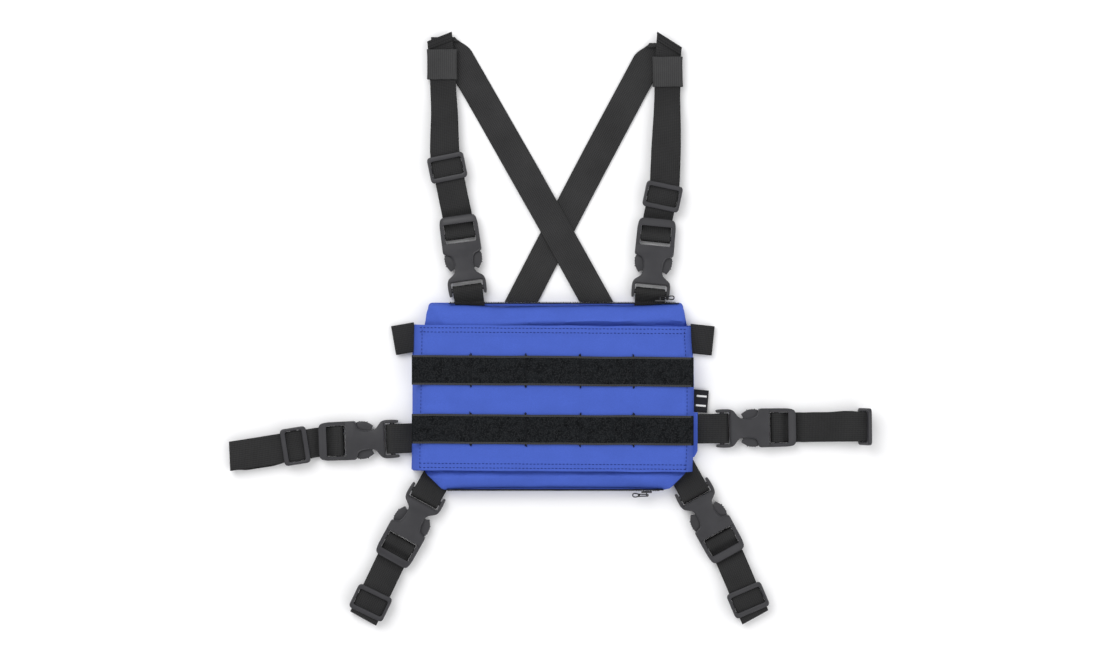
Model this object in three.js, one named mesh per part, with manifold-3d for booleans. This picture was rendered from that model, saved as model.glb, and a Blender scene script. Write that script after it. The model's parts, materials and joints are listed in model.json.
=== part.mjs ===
// Chest pack on an X-shaped strap harness, lying flat on its back.
// Millimetres. Looking at the front with the shoulders up, +X is to the right, +Y up and +Z out of the front.
// The origin is the middle of the pouch's back face.
import * as THREE from "three";
import { mergeVertices } from "three/addons/utils/BufferGeometryUtils.js";
import Module from "manifold-3d";

const wasm = await Module();
wasm.setup();

// Clearances and cloth.
const gap = 0.3; // between two pieces that touch
const cloth = 1.3; // one coated fabric wall with its lining
const webbingWidth = 25;
const webbingThickness = 1.5;

// Pouch.
const pouchTop = 81;
const pouchBottom = -78;
const pouchHalfWidth = 111.5;
const pouchShift = 2.5; // the bag sits a little to the right inside its sleeve
const pouchLeft = pouchShift - pouchHalfWidth;
const pouchRight = pouchShift + pouchHalfWidth;
const pouchTopTaper = 4; // each top corner comes in by this much
const pouchTaperDrop = 20;
const pouchCornerCut = 15.5; // chamfered lower corners
const pouchFront = 18.4; // height of the front face
const pouchEdgeRound = 3;
const backThickness = 1.6;

// Front sleeve and its two hook-and-loop strips.
const sideSeamWidth = 5.4; // the sleeve's edge beyond the bag on the right
const sleeveHalfWidth = pouchRight + sideSeamWidth;
const sleeveHalfHeight = 61.5;
const sideSeamHeight = 7.2;
const loopStripWidth = 25;
const loopStripThickness = 1.8;
const loopStripUpper = 23.3;
const loopStripLower = -26.3;

// Zips.
const zipTapeWidth = 6.6;
const zipTapeThickness = 1;
const zipCoilWidth = 4;
const zipCoilThickness = 1.1;
const topZip = { from: -88, to: 107, slider: 91 };
const bottomZip = { from: -90, to: 94, slider: 79.5 };
const sliderLength = 9;
const sliderWidth = 5.4;
const sliderThickness = 1.5;
const bailBar = 1;
const pullLength = 14;
const pullWire = 0.9;

// Webbing levels: the buckles' bars hold the two layers of each strap apart.
const barRadius = 2;
const lowerFace = backThickness + gap; // underside of the lower layer
const barHeight = lowerFace + webbingThickness + gap + barRadius;
const upperFace = barHeight + barRadius + gap; // underside of the upper layer
const pressedFace = lowerFace + webbingThickness + gap; // the same, where the layers lie together
const tailDepth = 12; // webbing sewn inside the pouch seam
const sideTailDepth = 3.8; // the same in the sleeve's narrow side seam

// Side-release buckle, measured from the plug's outer end.
const slotHalfWidth = webbingWidth / 2 + 0.8;
const socketSide = 3.2;
const buckleHalfWidth = slotHalfWidth + socketSide;
const plugSide = 2.5;
const plugHalfWidth = slotHalfWidth + plugSide;
const plugFrameThickness = 6;
const plugBar = 5.4;
const plugSlotEnd = 12.6;
const neckStart = 19;
const neckHalfWidth = 8;
const bladeHalfWidth = 2.5;
const bladeThickness = 3;
const bladeLength = 25;
const socketShoulder = 36;
const socketBodyEnd = 46.5;
const socketThickness = 11;
const socketWall = 2;
const socketBar = 51.8;
const socketEndBar = 62.5;
const socketEndBarWidth = 5.5;
const buckleLength = socketEndBar + socketEndBarWidth;
const socketFrameThickness = 7;
const prongThickness = 6;

// Three-bar slide.
const glideLength = 22;
const glideRail = 2.2;
const glideHalfWidth = slotHalfWidth + glideRail;
const glideBarWidth = 3.5;
const glideBarThickness = 2.2;
const glideCentreBar = 5;

// Yoke and keepers.
const keeperLength = 25;
const keeperWall = 1;
const rollRadius = webbingThickness + 0.8;
const strapFloor = 0.2;
const keeperLift = strapFloor + 2 * rollRadius + gap - pressedFace; // the front strap climbs over the roll
const hemThickness = 1.5;
const hemLength = 7;

const colours = {
  blue: 0x3a52b8,
  webbing: 0x2a2a2b,
  pile: 0x111214,
  elastic: 0x3a3a3c,
  plastic: 0x39393c,
  zipTape: 0x18181a,
  label: 0x1c1c1e,
};

// Worked out from the above, and small levels and clearances.
const loopInner = barRadius + gap;
const loopOuter = loopInner + webbingThickness;
const standingTilt = THREE.MathUtils.degToRad(70);
const standingLift = glideLength / 2 + gap - barHeight;
const loopClear = 24; // level webbing before the lift to a standing slide
const zipHeight = upperFace + webbingThickness + 2.4; // height of the coil's centre line
const shoulderStart = pouchTop + buckleLength; // where a shoulder's webbing leaves its buckle
const courseStart = buckleLength - 2; // the webbing may turn aside from here
const liftStart = buckleLength + 82; // a shoulder strap's layers come together between these
const liftEnd = buckleLength + 107;
const keeperSqueeze = 0.12; // the strap curls inside its keeper
const dividerThickness = 0.8;
const bailOpening = 1.4;
const loopStripInset = 0.4;
const labelThickness = 0.6;
const rightWaistHeight = -25.8;
const labelHeight = rightWaistHeight + webbingWidth / 2 + 11.3; // just above the right waist's webbing
const sideTabs = [
  { name: "side_tab_left", side: -1, height: 51.5, tilt: 10, reach: 16, width: webbingWidth },
  { name: "side_tab_right", side: 1, height: 50.3, tilt: -6, reach: 17, width: webbingWidth },
  { name: "label_tag", side: 1, height: labelHeight, tilt: -5, reach: 12.5, width: 19, thickness: labelThickness },
];
for (const tab of sideTabs) {
  tab.thickness = tab.thickness || webbingThickness;
  tab.colour = tab.thickness === labelThickness ? colours.label : colours.webbing;
}

// The six arms. from is the outer end of the plug and to is where its buckle ends. seam is how far the pouch's seam
// lies behind the plug, fold is where the webbing folds, and course lists the webbing's middle past the buckle.
const arms = [
  {
    name: "left_shoulder",
    from: [-71.5, pouchTop + 6.3],
    to: [-80.9, pouchTop + 73.6],
    seam: 6.4,
    glideAt: buckleLength + 41.5,
    course: [
      [-91.8, shoulderStart + 58],
      [-92, shoulderStart + 96],
      [-94, shoulderStart + 137.5],
      [-96, shoulderStart + 158],
    ],
    keeperAt: buckleLength + 129,
    stubSlope: 12,
    strapRoot: [38.5, pouchTop - 2],
    strapTop: [-89, shoulderStart + 158],
    onTop: true,
  },
  {
    name: "right_shoulder",
    from: [82.4, pouchTop + 3.4],
    to: [88.9, pouchTop + 71.1],
    seam: 3.4,
    glideAt: buckleLength + 19.2,
    course: [
      [95, shoulderStart + 31],
      [97, shoulderStart + 87],
      [97.6, shoulderStart + 135.6],
      [99, shoulderStart + 155.5],
    ],
    keeperAt: buckleLength + 125,
    stubSlope: -24,
    strapRoot: [-28.6, pouchTop - 3],
    strapTop: [88, shoulderStart + 153],
    onTop: false,
  },
  {
    name: "left_waist",
    from: [-sleeveHalfWidth - 10.9, -34.3],
    to: [-sleeveHalfWidth - 78.8, -37.1],
    seam: 10.9,
    inSideSeam: true,
    glideAt: buckleLength + 20,
    loopEnd: buckleLength + 76.5,
    course: [[-sleeveHalfWidth - 155.3, -49.5]],
  },
  {
    name: "right_waist",
    from: [sleeveHalfWidth + 18.8, rightWaistHeight],
    to: [sleeveHalfWidth + 86.8, -24.7],
    seam: 18.8,
    inSideSeam: true,
    standingGlide: true,
    loopEnd: buckleLength + 62,
    course: [[sleeveHalfWidth + 148.6, -24]],
  },
  {
    name: "left_lower",
    from: [pouchLeft + 4.6, pouchBottom - 0.4],
    to: [pouchLeft - 28.4, pouchBottom - 59.9],
    seam: 9,
    glideAt: buckleLength + 39,
    loopEnd: buckleLength + 54.5,
    course: [[pouchLeft - 55, pouchBottom - 115.5]],
  },
  {
    name: "right_lower",
    from: [pouchRight + 3.1, pouchBottom + 3.7],
    to: [pouchRight + 35.9, pouchBottom - 55.9],
    seam: 9,
    glideAt: buckleLength + 40,
    loopEnd: buckleLength + 56.5,
    course: [[pouchRight + 60, pouchBottom - 113]],
  },
];

function solidOf(geometry) {
  const plain = geometry.index ? geometry.toNonIndexed() : geometry;
  plain.deleteAttribute("normal");
  plain.deleteAttribute("uv");
  const merged = mergeVertices(plain, 1e-4);
  return new wasm.Manifold(
    new wasm.Mesh({
      numProp: 3,
      vertProperties: merged.attributes.position.array,
      triVerts: new Uint32Array(merged.index.array),
    }),
  );
}

function geometryOf(solid) {
  const mesh = solid.getMesh();
  const geometry = new THREE.BufferGeometry();
  geometry.setAttribute("position", new THREE.BufferAttribute(new Float32Array(mesh.vertProperties), 3));
  geometry.setIndex(new THREE.BufferAttribute(new Uint32Array(mesh.triVerts), 1));
  geometry.computeVertexNormals();
  return geometry;
}

// A box between its low corner and its high corner.
function box([x0, y0, z0], [x1, y1, z1]) {
  const geometry = new THREE.BoxGeometry(x1 - x0, y1 - y0, z1 - z0);
  geometry.translate((x0 + x1) / 2, (y0 + y1) / 2, (z0 + z1) / 2);
  return solidOf(geometry);
}

// A flat outline with holes, each a list of points.
function outline(points, holes = []) {
  const shape = new THREE.Shape(points.map(([x, y]) => new THREE.Vector2(x, y)));
  for (const hole of holes) {
    shape.holes.push(new THREE.Path(hole.map(([x, y]) => new THREE.Vector2(x, y))));
  }
  return shape;
}

// A plan outline standing between two heights, with both rims chamfered by edge.
function upright(points, low, high, edge = 0) {
  const geometry = new THREE.ExtrudeGeometry(outline(points), {
    depth: high - low - 2 * edge,
    bevelEnabled: edge > 0,
    bevelSegments: 1,
    bevelSize: edge,
    bevelThickness: edge,
    bevelOffset: -edge,
  });
  geometry.translate(0, 0, low + edge);
  return solidOf(geometry);
}

// A side view drawn in Y and Z, made width wide about X = 0.
function acrossX(shape, width) {
  const geometry = new THREE.ExtrudeGeometry(shape, { depth: width, bevelEnabled: false });
  geometry.translate(0, 0, -width / 2);
  geometry.rotateX(Math.PI / 2);
  geometry.rotateZ(Math.PI / 2);
  return geometry;
}

// An end view drawn in X and Z, running between two values of Y.
function alongY(points, low, high) {
  const geometry = new THREE.ExtrudeGeometry(outline(points), { depth: high - low, bevelEnabled: false });
  geometry.rotateX(Math.PI / 2);
  geometry.translate(0, high, 0);
  return solidOf(geometry);
}

// Points along an arc, with angles in degrees.
function arc(x, y, radius, from, to, steps = 8) {
  const points = [];
  for (let i = 0; i <= steps; i += 1) {
    const angle = THREE.MathUtils.degToRad(from + ((to - from) * i) / steps);
    points.push([x + radius * Math.cos(angle), y + radius * Math.sin(angle)]);
  }
  return points;
}

// An outline that is the same on both sides of X = 0, from its right-hand half listed from top to bottom.
function bothSides(half) {
  const left = half.map(([x, y]) => [-x, y]);
  return [...half.slice().reverse(), ...left];
}

// Webbing seen from the side, as matching points of its two faces in Y and Z, made width wide about X = 0.
function band(outer, inner, width, closed) {
  const count = outer.length;
  const corners = [];
  for (const x of [-width / 2, width / 2]) {
    for (const points of [outer, inner]) {
      corners.push(...points.map(([y, z]) => [x, y, z]));
    }
  }
  const index = [];
  const quad = (a, b, c, d) => index.push(a, b, c, a, c, d);
  const [leftOuter, leftInner, rightOuter, rightInner] = [0, count, 2 * count, 3 * count];
  for (let i = 0; i < (closed ? count : count - 1); i += 1) {
    const j = (i + 1) % count;
    quad(leftOuter + i, leftOuter + j, rightOuter + j, rightOuter + i);
    quad(leftInner + j, leftInner + i, rightInner + i, rightInner + j);
    quad(leftOuter + j, leftOuter + i, leftInner + i, leftInner + j);
    quad(rightOuter + i, rightOuter + j, rightInner + j, rightInner + i);
  }
  if (!closed) {
    const last = count - 1;
    quad(leftOuter, rightOuter, rightInner, leftInner);
    quad(rightOuter + last, leftOuter + last, leftInner + last, rightInner + last);
  }
  const geometry = new THREE.BufferGeometry();
  geometry.setAttribute("position", new THREE.Float32BufferAttribute(corners.flat(), 3));
  geometry.setIndex(index);
  return geometry;
}

// A round bar across X.
function crossBar(y, z, radius, halfLength) {
  const geometry = new THREE.CylinderGeometry(radius, radius, 2 * halfLength, 16);
  geometry.rotateZ(Math.PI / 2);
  geometry.translate(0, y, z);
  return solidOf(geometry);
}

function ramp(value, from, to) {
  return THREE.MathUtils.clamp((value - from) / (to - from), 0, 1);
}

const harness = new THREE.Group();

function add(parent, name, shape, colour, roughness) {
  const geometry = shape.isBufferGeometry ? shape : geometryOf(shape);
  const mesh = new THREE.Mesh(geometry, new THREE.MeshStandardMaterial({ color: colour, roughness, metalness: 0 }));
  mesh.name = name;
  parent.add(mesh);
}

// Each arm's parts are drawn in a group whose Y axis runs out along the arm from the plug's outer end.
for (const arm of arms) {
  arm.group = new THREE.Group();
  arm.group.position.set(arm.from[0], arm.from[1], 0);
  arm.group.rotation.z = Math.atan2(arm.from[0] - arm.to[0], arm.to[1] - arm.from[1]);
  arm.group.updateMatrix();
  const inward = arm.group.matrix.clone().invert();
  const local = (x, y) => new THREE.Vector3(x, y, 0).applyMatrix4(inward);
  arm.turns = [local(...arm.from).setY(courseStart), ...arm.course.map(([x, y]) => local(x, y))];
  arm.stubEnd = arm.keeperAt ? arm.turns[arm.turns.length - 1].y : Infinity;
  arm.rollAlong = arm.keeperAt ? local(arm.strapTop[0], arm.strapTop[1] - rollRadius).y : Infinity;
  harness.add(arm.group);
}

// How far the webbing's middle lies to the side of the buckle's axis.
function drift(arm, along) {
  const ahead = arm.turns.findIndex((turn) => turn.y > along);
  const index = ahead < 0 ? arm.turns.length - 1 : Math.max(1, ahead);
  const before = arm.turns[index - 1];
  const after = arm.turns[index];
  const share = Math.max(0, (along - before.y) / (after.y - before.y));
  return before.x + share * (after.x - before.x);
}

function courseAngle(arm, along) {
  return Math.atan2(drift(arm, along - 1) - drift(arm, along + 1), 2);
}

// How far the webbing is lifted off its usual level.
function lift(arm, along) {
  if (arm.keeperAt) {
    return keeperLift * ramp(along, liftStart, liftEnd);
  }
  return arm.standingGlide ? standingLift * ramp(along, buckleLength + loopClear, arm.loopEnd - loopOuter) : 0;
}

// The underside of the upper layer: over the bar, under the socket's end bar, up at the slide, and down again
// where the two layers of a shoulder strap lie together.
function upperLevel(arm, along) {
  const underEndBar = ramp(along, socketBar + barRadius, socketEndBar - 2.5);
  const upAgain = ramp(along, buckleLength + 1, buckleLength + 7);
  const together = arm.keeperAt ? ramp(along, liftStart, liftEnd) : 0;
  return upperFace - (underEndBar - upAgain + together) * (upperFace - pressedFace);
}

// Distances where the webbing changes level or course, up to an end.
function stations(arm, end) {
  const levels = [socketBar + barRadius, socketEndBar - 2.5, buckleLength + 1, buckleLength + 7];
  const own = arm.keeperAt ? [liftStart, liftEnd] : [buckleLength + loopClear];
  const turns = arm.turns.map((turn) => turn.y);
  return [...levels, ...own, ...turns].filter((along) => along < end - 1).sort((a, b) => a - b);
}

// Lays straight webbing along its arm's course.
function laid(geometry, arm) {
  const position = geometry.attributes.position;
  for (let i = 0; i < position.count; i += 1) {
    const along = position.getY(i);
    const side = position.getX(i);
    const narrow = arm.keeperAt ? 1 - keeperSqueeze * ramp(along, buckleLength + 50, liftEnd) : 1;
    const slope = along > arm.stubEnd - hemLength - 1 ? Math.tan(THREE.MathUtils.degToRad(arm.stubSlope)) : 0;
    position.setXYZ(i, side * narrow + drift(arm, along), along + side * slope, position.getZ(i) + lift(arm, along));
  }
  return geometry;
}

// Anchor: webbing folded round the plug's bar, with both ends sewn into the pouch's seam.
function anchorWebbing(arm) {
  const tail = -arm.seam - (arm.inSideSeam ? sideTailDepth : tailDepth);
  const leaves = plugBar - barRadius + 0.2;
  const outer = [
    [tail, lowerFace],
    ...arc(plugBar, barHeight, loopOuter, -90, 90),
    [leaves, upperFace + webbingThickness],
    [-arm.seam, pressedFace + webbingThickness],
    [tail, pressedFace + webbingThickness],
  ];
  const eye = [
    [-arm.seam + 1, lowerFace + webbingThickness],
    ...arc(plugBar, barHeight, loopInner, -90, 90),
    [leaves, upperFace],
    [-arm.seam + 1, pressedFace],
  ];
  return acrossX(outline(outer, [eye]), webbingWidth);
}

// A closed loop from the socket's bar out to a fold.
function loopWebbing(arm) {
  const fold = arm.loopEnd - loopOuter;
  const along = stations(arm, fold);
  const layer = (radius, low, top) => [
    ...arc(socketBar, barHeight, radius, 90, 270),
    ...along.map((y) => [y, low]),
    ...arc(fold, barHeight, radius, -90, 90),
    ...along.map((y) => [y, upperLevel(arm, y) + top]).reverse(),
  ];
  const outer = layer(loopOuter, lowerFace, webbingThickness);
  const inner = layer(loopInner, lowerFace + webbingThickness, 0);
  return laid(band(outer, inner, webbingWidth, true), arm);
}

// A front strap: its lower layer runs up to the shoulder strap's roll, and its upper layer is the free end.
function frontStrap(arm) {
  const lowerEnd = arm.rollAlong - 2 * rollRadius - 2;
  const hemStart = arm.stubEnd - hemLength;
  const under = [...stations(arm, lowerEnd), lowerEnd];
  const over = [...stations(arm, hemStart), hemStart - 0.2].reverse();
  const hem = [arm.stubEnd, hemStart + 0.2];
  const face = (radius, low, top, hemTop) => [
    ...hem.map((y) => [y, upperLevel(arm, y) + hemTop]),
    ...over.map((y) => [y, upperLevel(arm, y) + top]),
    ...arc(socketBar, barHeight, radius, 90, 270),
    ...under.map((y) => [y, low]),
  ];
  const outer = face(loopOuter, lowerFace, webbingThickness, webbingThickness + hemThickness);
  const inner = face(loopInner, lowerFace + webbingThickness, 0, 0);
  return laid(band(outer, inner, webbingWidth, false), arm);
}

// Plug: two hooks and a bar for the anchor webbing, a neck, and a blade that guides it into the socket.
function plugBody() {
  const half = [
    [neckHalfWidth + 0.5, neckStart],
    [neckHalfWidth + 1.5, neckStart - 1.2],
    [plugHalfWidth - 2.2, neckStart - 3],
    [plugHalfWidth, plugSlotEnd],
    [plugHalfWidth, 2.5],
    [plugHalfWidth - 0.8, 0.5],
    [slotHalfWidth, 0],
    [slotHalfWidth, plugSlotEnd],
  ];
  const low = barHeight - plugFrameThickness / 2;
  const frame = upright(bothSides(half), low, low + plugFrameThickness, 0.6);
  const bladeLow = barHeight - bladeThickness / 2;
  const bladeStart = neckStart - 1;
  const bladeEnd = neckStart + bladeLength;
  const blade = box([-bladeHalfWidth, bladeStart, bladeLow], [bladeHalfWidth, bladeEnd, bladeLow + bladeThickness]);
  return frame.add(crossBar(plugBar, barHeight, barRadius, slotHalfWidth + 1)).add(blade);
}

// Prong: a springy finger with the curved pad that is pressed and a head that sits in the socket's body.
function prong(side) {
  const points = [
    [4, neckStart + gap],
    [neckHalfWidth - 0.8, neckStart + gap],
    [neckHalfWidth + 0.8, 23.4],
    [plugHalfWidth - 4.2, 21.7],
    [plugHalfWidth - 1.4, 25.2],
    [plugHalfWidth - 0.2, 28.5],
    [plugHalfWidth + 0.2, 32],
    [plugHalfWidth - 0.5, socketShoulder - 0.5],
    [plugHalfWidth - 2.4, socketShoulder - 0.5],
    [plugHalfWidth - 2.4, 39],
    [plugHalfWidth - 4.4, 42.5],
    [plugHalfWidth - 6, 42.5],
    [plugHalfWidth - 7.6, 34],
    [5.4, 26],
  ];
  const placed = side > 0 ? points : points.map(([x, y]) => [-x, y]).reverse();
  return upright(placed, barHeight - prongThickness / 2, barHeight + prongThickness / 2, 0.4);
}

// Socket: two neck plates and a hollow body, then an open frame with the bar that the webbing turns round.
function socketBody() {
  const half = [
    [buckleHalfWidth - 3.5, buckleLength],
    [buckleHalfWidth - 1.3, buckleLength - 2.5],
    [buckleHalfWidth - 0.7, socketEndBar - 2],
    [buckleHalfWidth, socketBodyEnd],
    [buckleHalfWidth, socketShoulder + 1.4],
    [buckleHalfWidth - 1, socketShoulder + 0.2],
    [buckleHalfWidth - 3.5, socketShoulder - 0.3],
    [buckleHalfWidth - 6.3, socketShoulder - 1.6],
    [neckHalfWidth + 0.6, socketShoulder - 4],
    [neckHalfWidth, socketShoulder - 7.5],
    [neckHalfWidth, neckStart + gap],
  ];
  const low = barHeight - socketThickness / 2;
  const high = low + socketThickness;
  const frameLow = barHeight - socketFrameThickness / 2;
  const frameHigh = frameLow + socketFrameThickness;
  const hollowLow = low + socketWall;
  const hollowHigh = high - socketWall;
  const wide = 2 * buckleHalfWidth;
  const hollowHalf = buckleHalfWidth - 2.3;
  const strapRoom = pressedFace + webbingThickness + gap;
  const cuts = [
    box([-wide, socketBodyEnd, frameHigh], [wide, buckleLength + 1, high + 1]),
    box([-wide, socketBodyEnd, low - 1], [wide, buckleLength + 1, frameLow]),
    box([-slotHalfWidth, socketBodyEnd + 0.4, low - 1], [slotHalfWidth, socketEndBar, high + 1]),
    box([-slotHalfWidth, socketEndBar - 1, low - 1], [slotHalfWidth, buckleLength + 1, strapRoom]),
    box([-hollowHalf, neckStart, hollowLow], [hollowHalf, socketBodyEnd - socketWall, hollowHigh]),
    box([-wide, neckStart, hollowLow], [wide, socketShoulder + 0.3, hollowHigh]),
  ];
  let body = upright(bothSides(half), low, high, 1);
  for (const cut of cuts) {
    body = body.subtract(cut);
  }
  return body.add(crossBar(socketBar, barHeight, barRadius, slotHalfWidth + 1));
}

// A three-bar slide on flat webbing: its middle bar lies between the layers and its end bars over them.
function flatGlide() {
  const half = glideLength / 2;
  const corner = 2.5;
  const rim = [
    [glideHalfWidth - corner, half],
    [glideHalfWidth, half - corner],
    [glideHalfWidth, corner - half],
    [glideHalfWidth - corner, -half],
  ];
  const overLow = upperFace + webbingThickness + gap;
  const overHigh = overLow + glideBarThickness;
  const midHigh = upperFace - gap;
  const midLow = midHigh - glideBarThickness;
  const window = half - glideBarWidth;
  return upright(bothSides(rim), midLow, overHigh, 0.4)
    .subtract(box([-slotHalfWidth, -window, midLow - 1], [slotHalfWidth, window, overHigh + 1]))
    .subtract(box([-slotHalfWidth, -half - 1, midLow - 1], [slotHalfWidth, half + 1, overLow]))
    .add(box([-glideHalfWidth + 1, -glideCentreBar / 2, midLow], [glideHalfWidth - 1, glideCentreBar / 2, midHigh]));
}

// The same slide standing up on its long edge, with the webbing folded round its middle bar.
function standingGlide() {
  const half = glideLength / 2;
  const corner = 2.5;
  const rim = [
    [glideHalfWidth - corner, half],
    [glideHalfWidth, half - corner],
    [glideHalfWidth, corner - half],
    [glideHalfWidth - corner, -half],
  ];
  const window = half - glideBarWidth;
  const thick = 3.4;
  return upright(bothSides(rim), -thick / 2, thick / 2, 0.5)
    .subtract(box([-slotHalfWidth, -window, -thick], [slotHalfWidth, window, thick]))
    .add(crossBar(0, 0, barRadius, slotHalfWidth + 1));
}

// An elastic sleeve round both layers of a front strap.
function keeper(arm) {
  const halfInside = (webbingWidth / 2) * (1 - keeperSqueeze) + gap + 0.3;
  const low = lowerFace + keeperLift - gap;
  const high = pressedFace + webbingThickness + keeperLift + gap;
  const half = keeperLength / 2;
  const wall = keeperWall;
  return box([-halfInside - wall, -half, low - wall], [halfInside + wall, half, high + wall]).subtract(
    box([-halfInside, -half - 1, low], [halfInside, half + 1, high]),
  );
}

function makeArm(arm) {
  const { group, name } = arm;
  add(group, name + "_anchor", anchorWebbing(arm), colours.webbing, 0.95);
  add(group, name + "_plug", plugBody(), colours.plastic, 0.45);
  add(group, name + "_prong_a", prong(1), colours.plastic, 0.45);
  add(group, name + "_prong_b", prong(-1), colours.plastic, 0.45);
  add(group, name + "_socket", socketBody(), colours.plastic, 0.45);
  add(group, name + "_strap", arm.keeperAt ? frontStrap(arm) : loopWebbing(arm), colours.webbing, 0.95);
  const slide = new THREE.Group();
  const place = arm.standingGlide ? arm.loopEnd - loopOuter : arm.glideAt;
  slide.position.set(drift(arm, place), place, arm.standingGlide ? barHeight + lift(arm, place) : 0);
  slide.rotation.z = courseAngle(arm, place);
  group.add(slide);
  if (arm.standingGlide) {
    const stood = new THREE.Group();
    stood.rotation.x = standingTilt;
    slide.add(stood);
    add(stood, name + "_slide", standingGlide(), colours.plastic, 0.45);
  } else {
    add(slide, name + "_slide", flatGlide(), colours.plastic, 0.45);
  }
  if (arm.keeperAt) {
    const held = new THREE.Group();
    held.position.set(drift(arm, arm.keeperAt), arm.keeperAt, 0);
    held.rotation.z = courseAngle(arm, arm.keeperAt);
    group.add(held);
    add(held, name + "_keeper", keeper(arm), colours.elastic, 0.95);
    add(harness, name + "_back_strap", backStrap(arm), colours.webbing, 0.95);
  }
}

// A shoulder strap across the back: it leaves the pouch's top seam, crosses the other one and rolls over at the top.
function backStrap(arm) {
  const [x0, y0] = arm.strapRoot;
  const [x1, y1] = arm.strapTop;
  const rise = y1 - rollRadius - y0;
  const lean = Math.atan2(x0 - x1, rise);
  const length = Math.hypot(x1 - x0, rise);
  const raised = arm.onTop ? webbingThickness + gap : 0;
  const fallStart = length * 0.45;
  const fallEnd = length * 0.6;
  const run = length + webbingWidth;
  const levels = [
    [-webbingWidth, strapFloor + raised],
    [fallStart, strapFloor + raised],
    [fallEnd, strapFloor],
    [run, strapFloor],
  ];
  const over = levels.map(([y, z]) => [y, z + webbingThickness]).reverse();
  const flat = acrossX(outline([...levels, ...over]), webbingWidth);
  flat.rotateZ(lean);
  flat.translate(x0, y0, 0);
  const rollY = y1 - rollRadius;
  const rollHeight = strapFloor + rollRadius;
  const inner = rollRadius - webbingThickness;
  const curl = [
    [rollY - 0.5, strapFloor],
    ...arc(rollY, rollHeight, rollRadius, -90, 90),
    [rollY - 2, rollHeight + rollRadius],
    [rollY - 2, rollHeight + inner],
    ...arc(rollY, rollHeight, inner, 90, -90),
    [rollY - 0.5, strapFloor + webbingThickness],
  ];
  const curlGeometry = acrossX(outline(curl), webbingWidth / Math.cos(lean));
  curlGeometry.translate(x1, 0, 0);
  const far = 400;
  const between = box([-far, pouchTop + gap, -1], [far, rollY - 0.1, 50]);
  return solidOf(flat).intersect(between).add(solidOf(curlGeometry));
}

// The bag's plan outline, brought in by inset all round.
function bagOutline(inset) {
  const half = pouchHalfWidth - inset;
  const top = pouchTop - inset;
  const bottom = pouchBottom + inset;
  const cut = pouchCornerCut - inset * (2 - Math.SQRT2);
  const right = [
    [half - pouchTopTaper, top],
    [half, top - pouchTaperDrop],
    [half, bottom + cut],
    [half - cut, bottom],
  ];
  return bothSides(right).map(([x, y]) => [x + pouchShift, y]);
}

// The bag's block of space, from below its open back to its front face, with the front rim chamfered.
function bagBlock(inset, low) {
  const high = pouchFront - inset;
  const deep = low - 2 * pouchEdgeRound;
  const wide = 2 * pouchHalfWidth;
  return upright(bagOutline(inset), deep, high, pouchEdgeRound).intersect(
    box([-wide, -wide, low], [wide, wide, high + 1]),
  );
}

function zipSlot(zip, outside, direction) {
  const reach = 6;
  const half = zipTapeWidth / 2 + gap;
  const sides = [outside - direction * reach, outside + direction * reach].sort((a, b) => a - b);
  return box([zip.from - gap, sides[0], zipHeight - half], [zip.to + gap, sides[1], zipHeight + half]);
}

// Front, sides and gusset in one shell, open at the back, with the slots for the zips and the webbing, and the
// sheet inside that parts the top zip's compartment from the bottom zip's.
function pouchShell(tails) {
  let shell = bagBlock(0, lowerFace).subtract(bagBlock(cloth, lowerFace - 1));
  const sheet = [
    [pouchTop - 0.5, zipHeight - zipTapeWidth / 2 - 1.6],
    [pouchBottom + 0.5, zipHeight + zipTapeWidth / 2 + 1.4],
  ];
  const divider = acrossX(outline([...sheet, ...sheet.map(([y, z]) => [y, z + dividerThickness]).reverse()]), 400);
  shell = shell.add(solidOf(divider).intersect(bagBlock(cloth / 2, lowerFace)));
  shell = shell.subtract(zipSlot(topZip, pouchTop, 1)).subtract(zipSlot(bottomZip, pouchBottom, -1));
  for (const tail of tails) {
    shell = shell.subtract(tail);
  }
  return shell;
}

// Back panel, with the seam allowances that reach out under the sleeve's side edges.
function backPanel() {
  const bag = upright(bagOutline(0), 0, backThickness);
  const wings = box([-sleeveHalfWidth, -sleeveHalfHeight, 0], [sleeveHalfWidth, sleeveHalfHeight, backThickness]);
  return bag.add(wings);
}

// Front sleeve: a panel over the bag's front whose side edges come down into the side seams.
function frontSleeve(tails) {
  const left = pouchLeft - gap;
  const right = pouchRight + gap;
  const top = pouchFront + gap;
  const rim = pouchEdgeRound;
  const section = [
    [-sleeveHalfWidth, lowerFace],
    [left, lowerFace],
    [left, top - rim],
    [left + rim, top],
    [right - rim, top],
    [right, top - rim],
    [right, lowerFace],
    [sleeveHalfWidth, lowerFace],
    [sleeveHalfWidth, sideSeamHeight],
    [right + cloth, top - 2],
    [right - rim, top + cloth],
    [left + rim, top + cloth],
    [left - cloth, top - 2],
    [-sleeveHalfWidth, sideSeamHeight],
  ];
  let sleeve = alongY(section, -sleeveHalfHeight, sleeveHalfHeight);
  for (const tail of tails) {
    sleeve = sleeve.subtract(tail);
  }
  return sleeve;
}

function loopStrip(middle) {
  const low = pouchFront + gap + cloth + gap;
  const half = loopStripWidth / 2;
  const reach = sleeveHalfWidth - loopStripInset;
  return box([-reach, middle - half, low], [reach, middle + half, low + loopStripThickness]);
}

// The room a sewn-in webbing end takes in the cloth round it; rise is how far it has climbed at the seam.
function tailRoom(group, width, from, to, rise) {
  const half = width / 2 + gap;
  const room = box([-half, from - gap, lowerFace - 1], [half, to, pressedFace + webbingThickness + gap + rise]);
  group.updateMatrix();
  return room.transform(group.matrix.elements);
}

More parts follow.
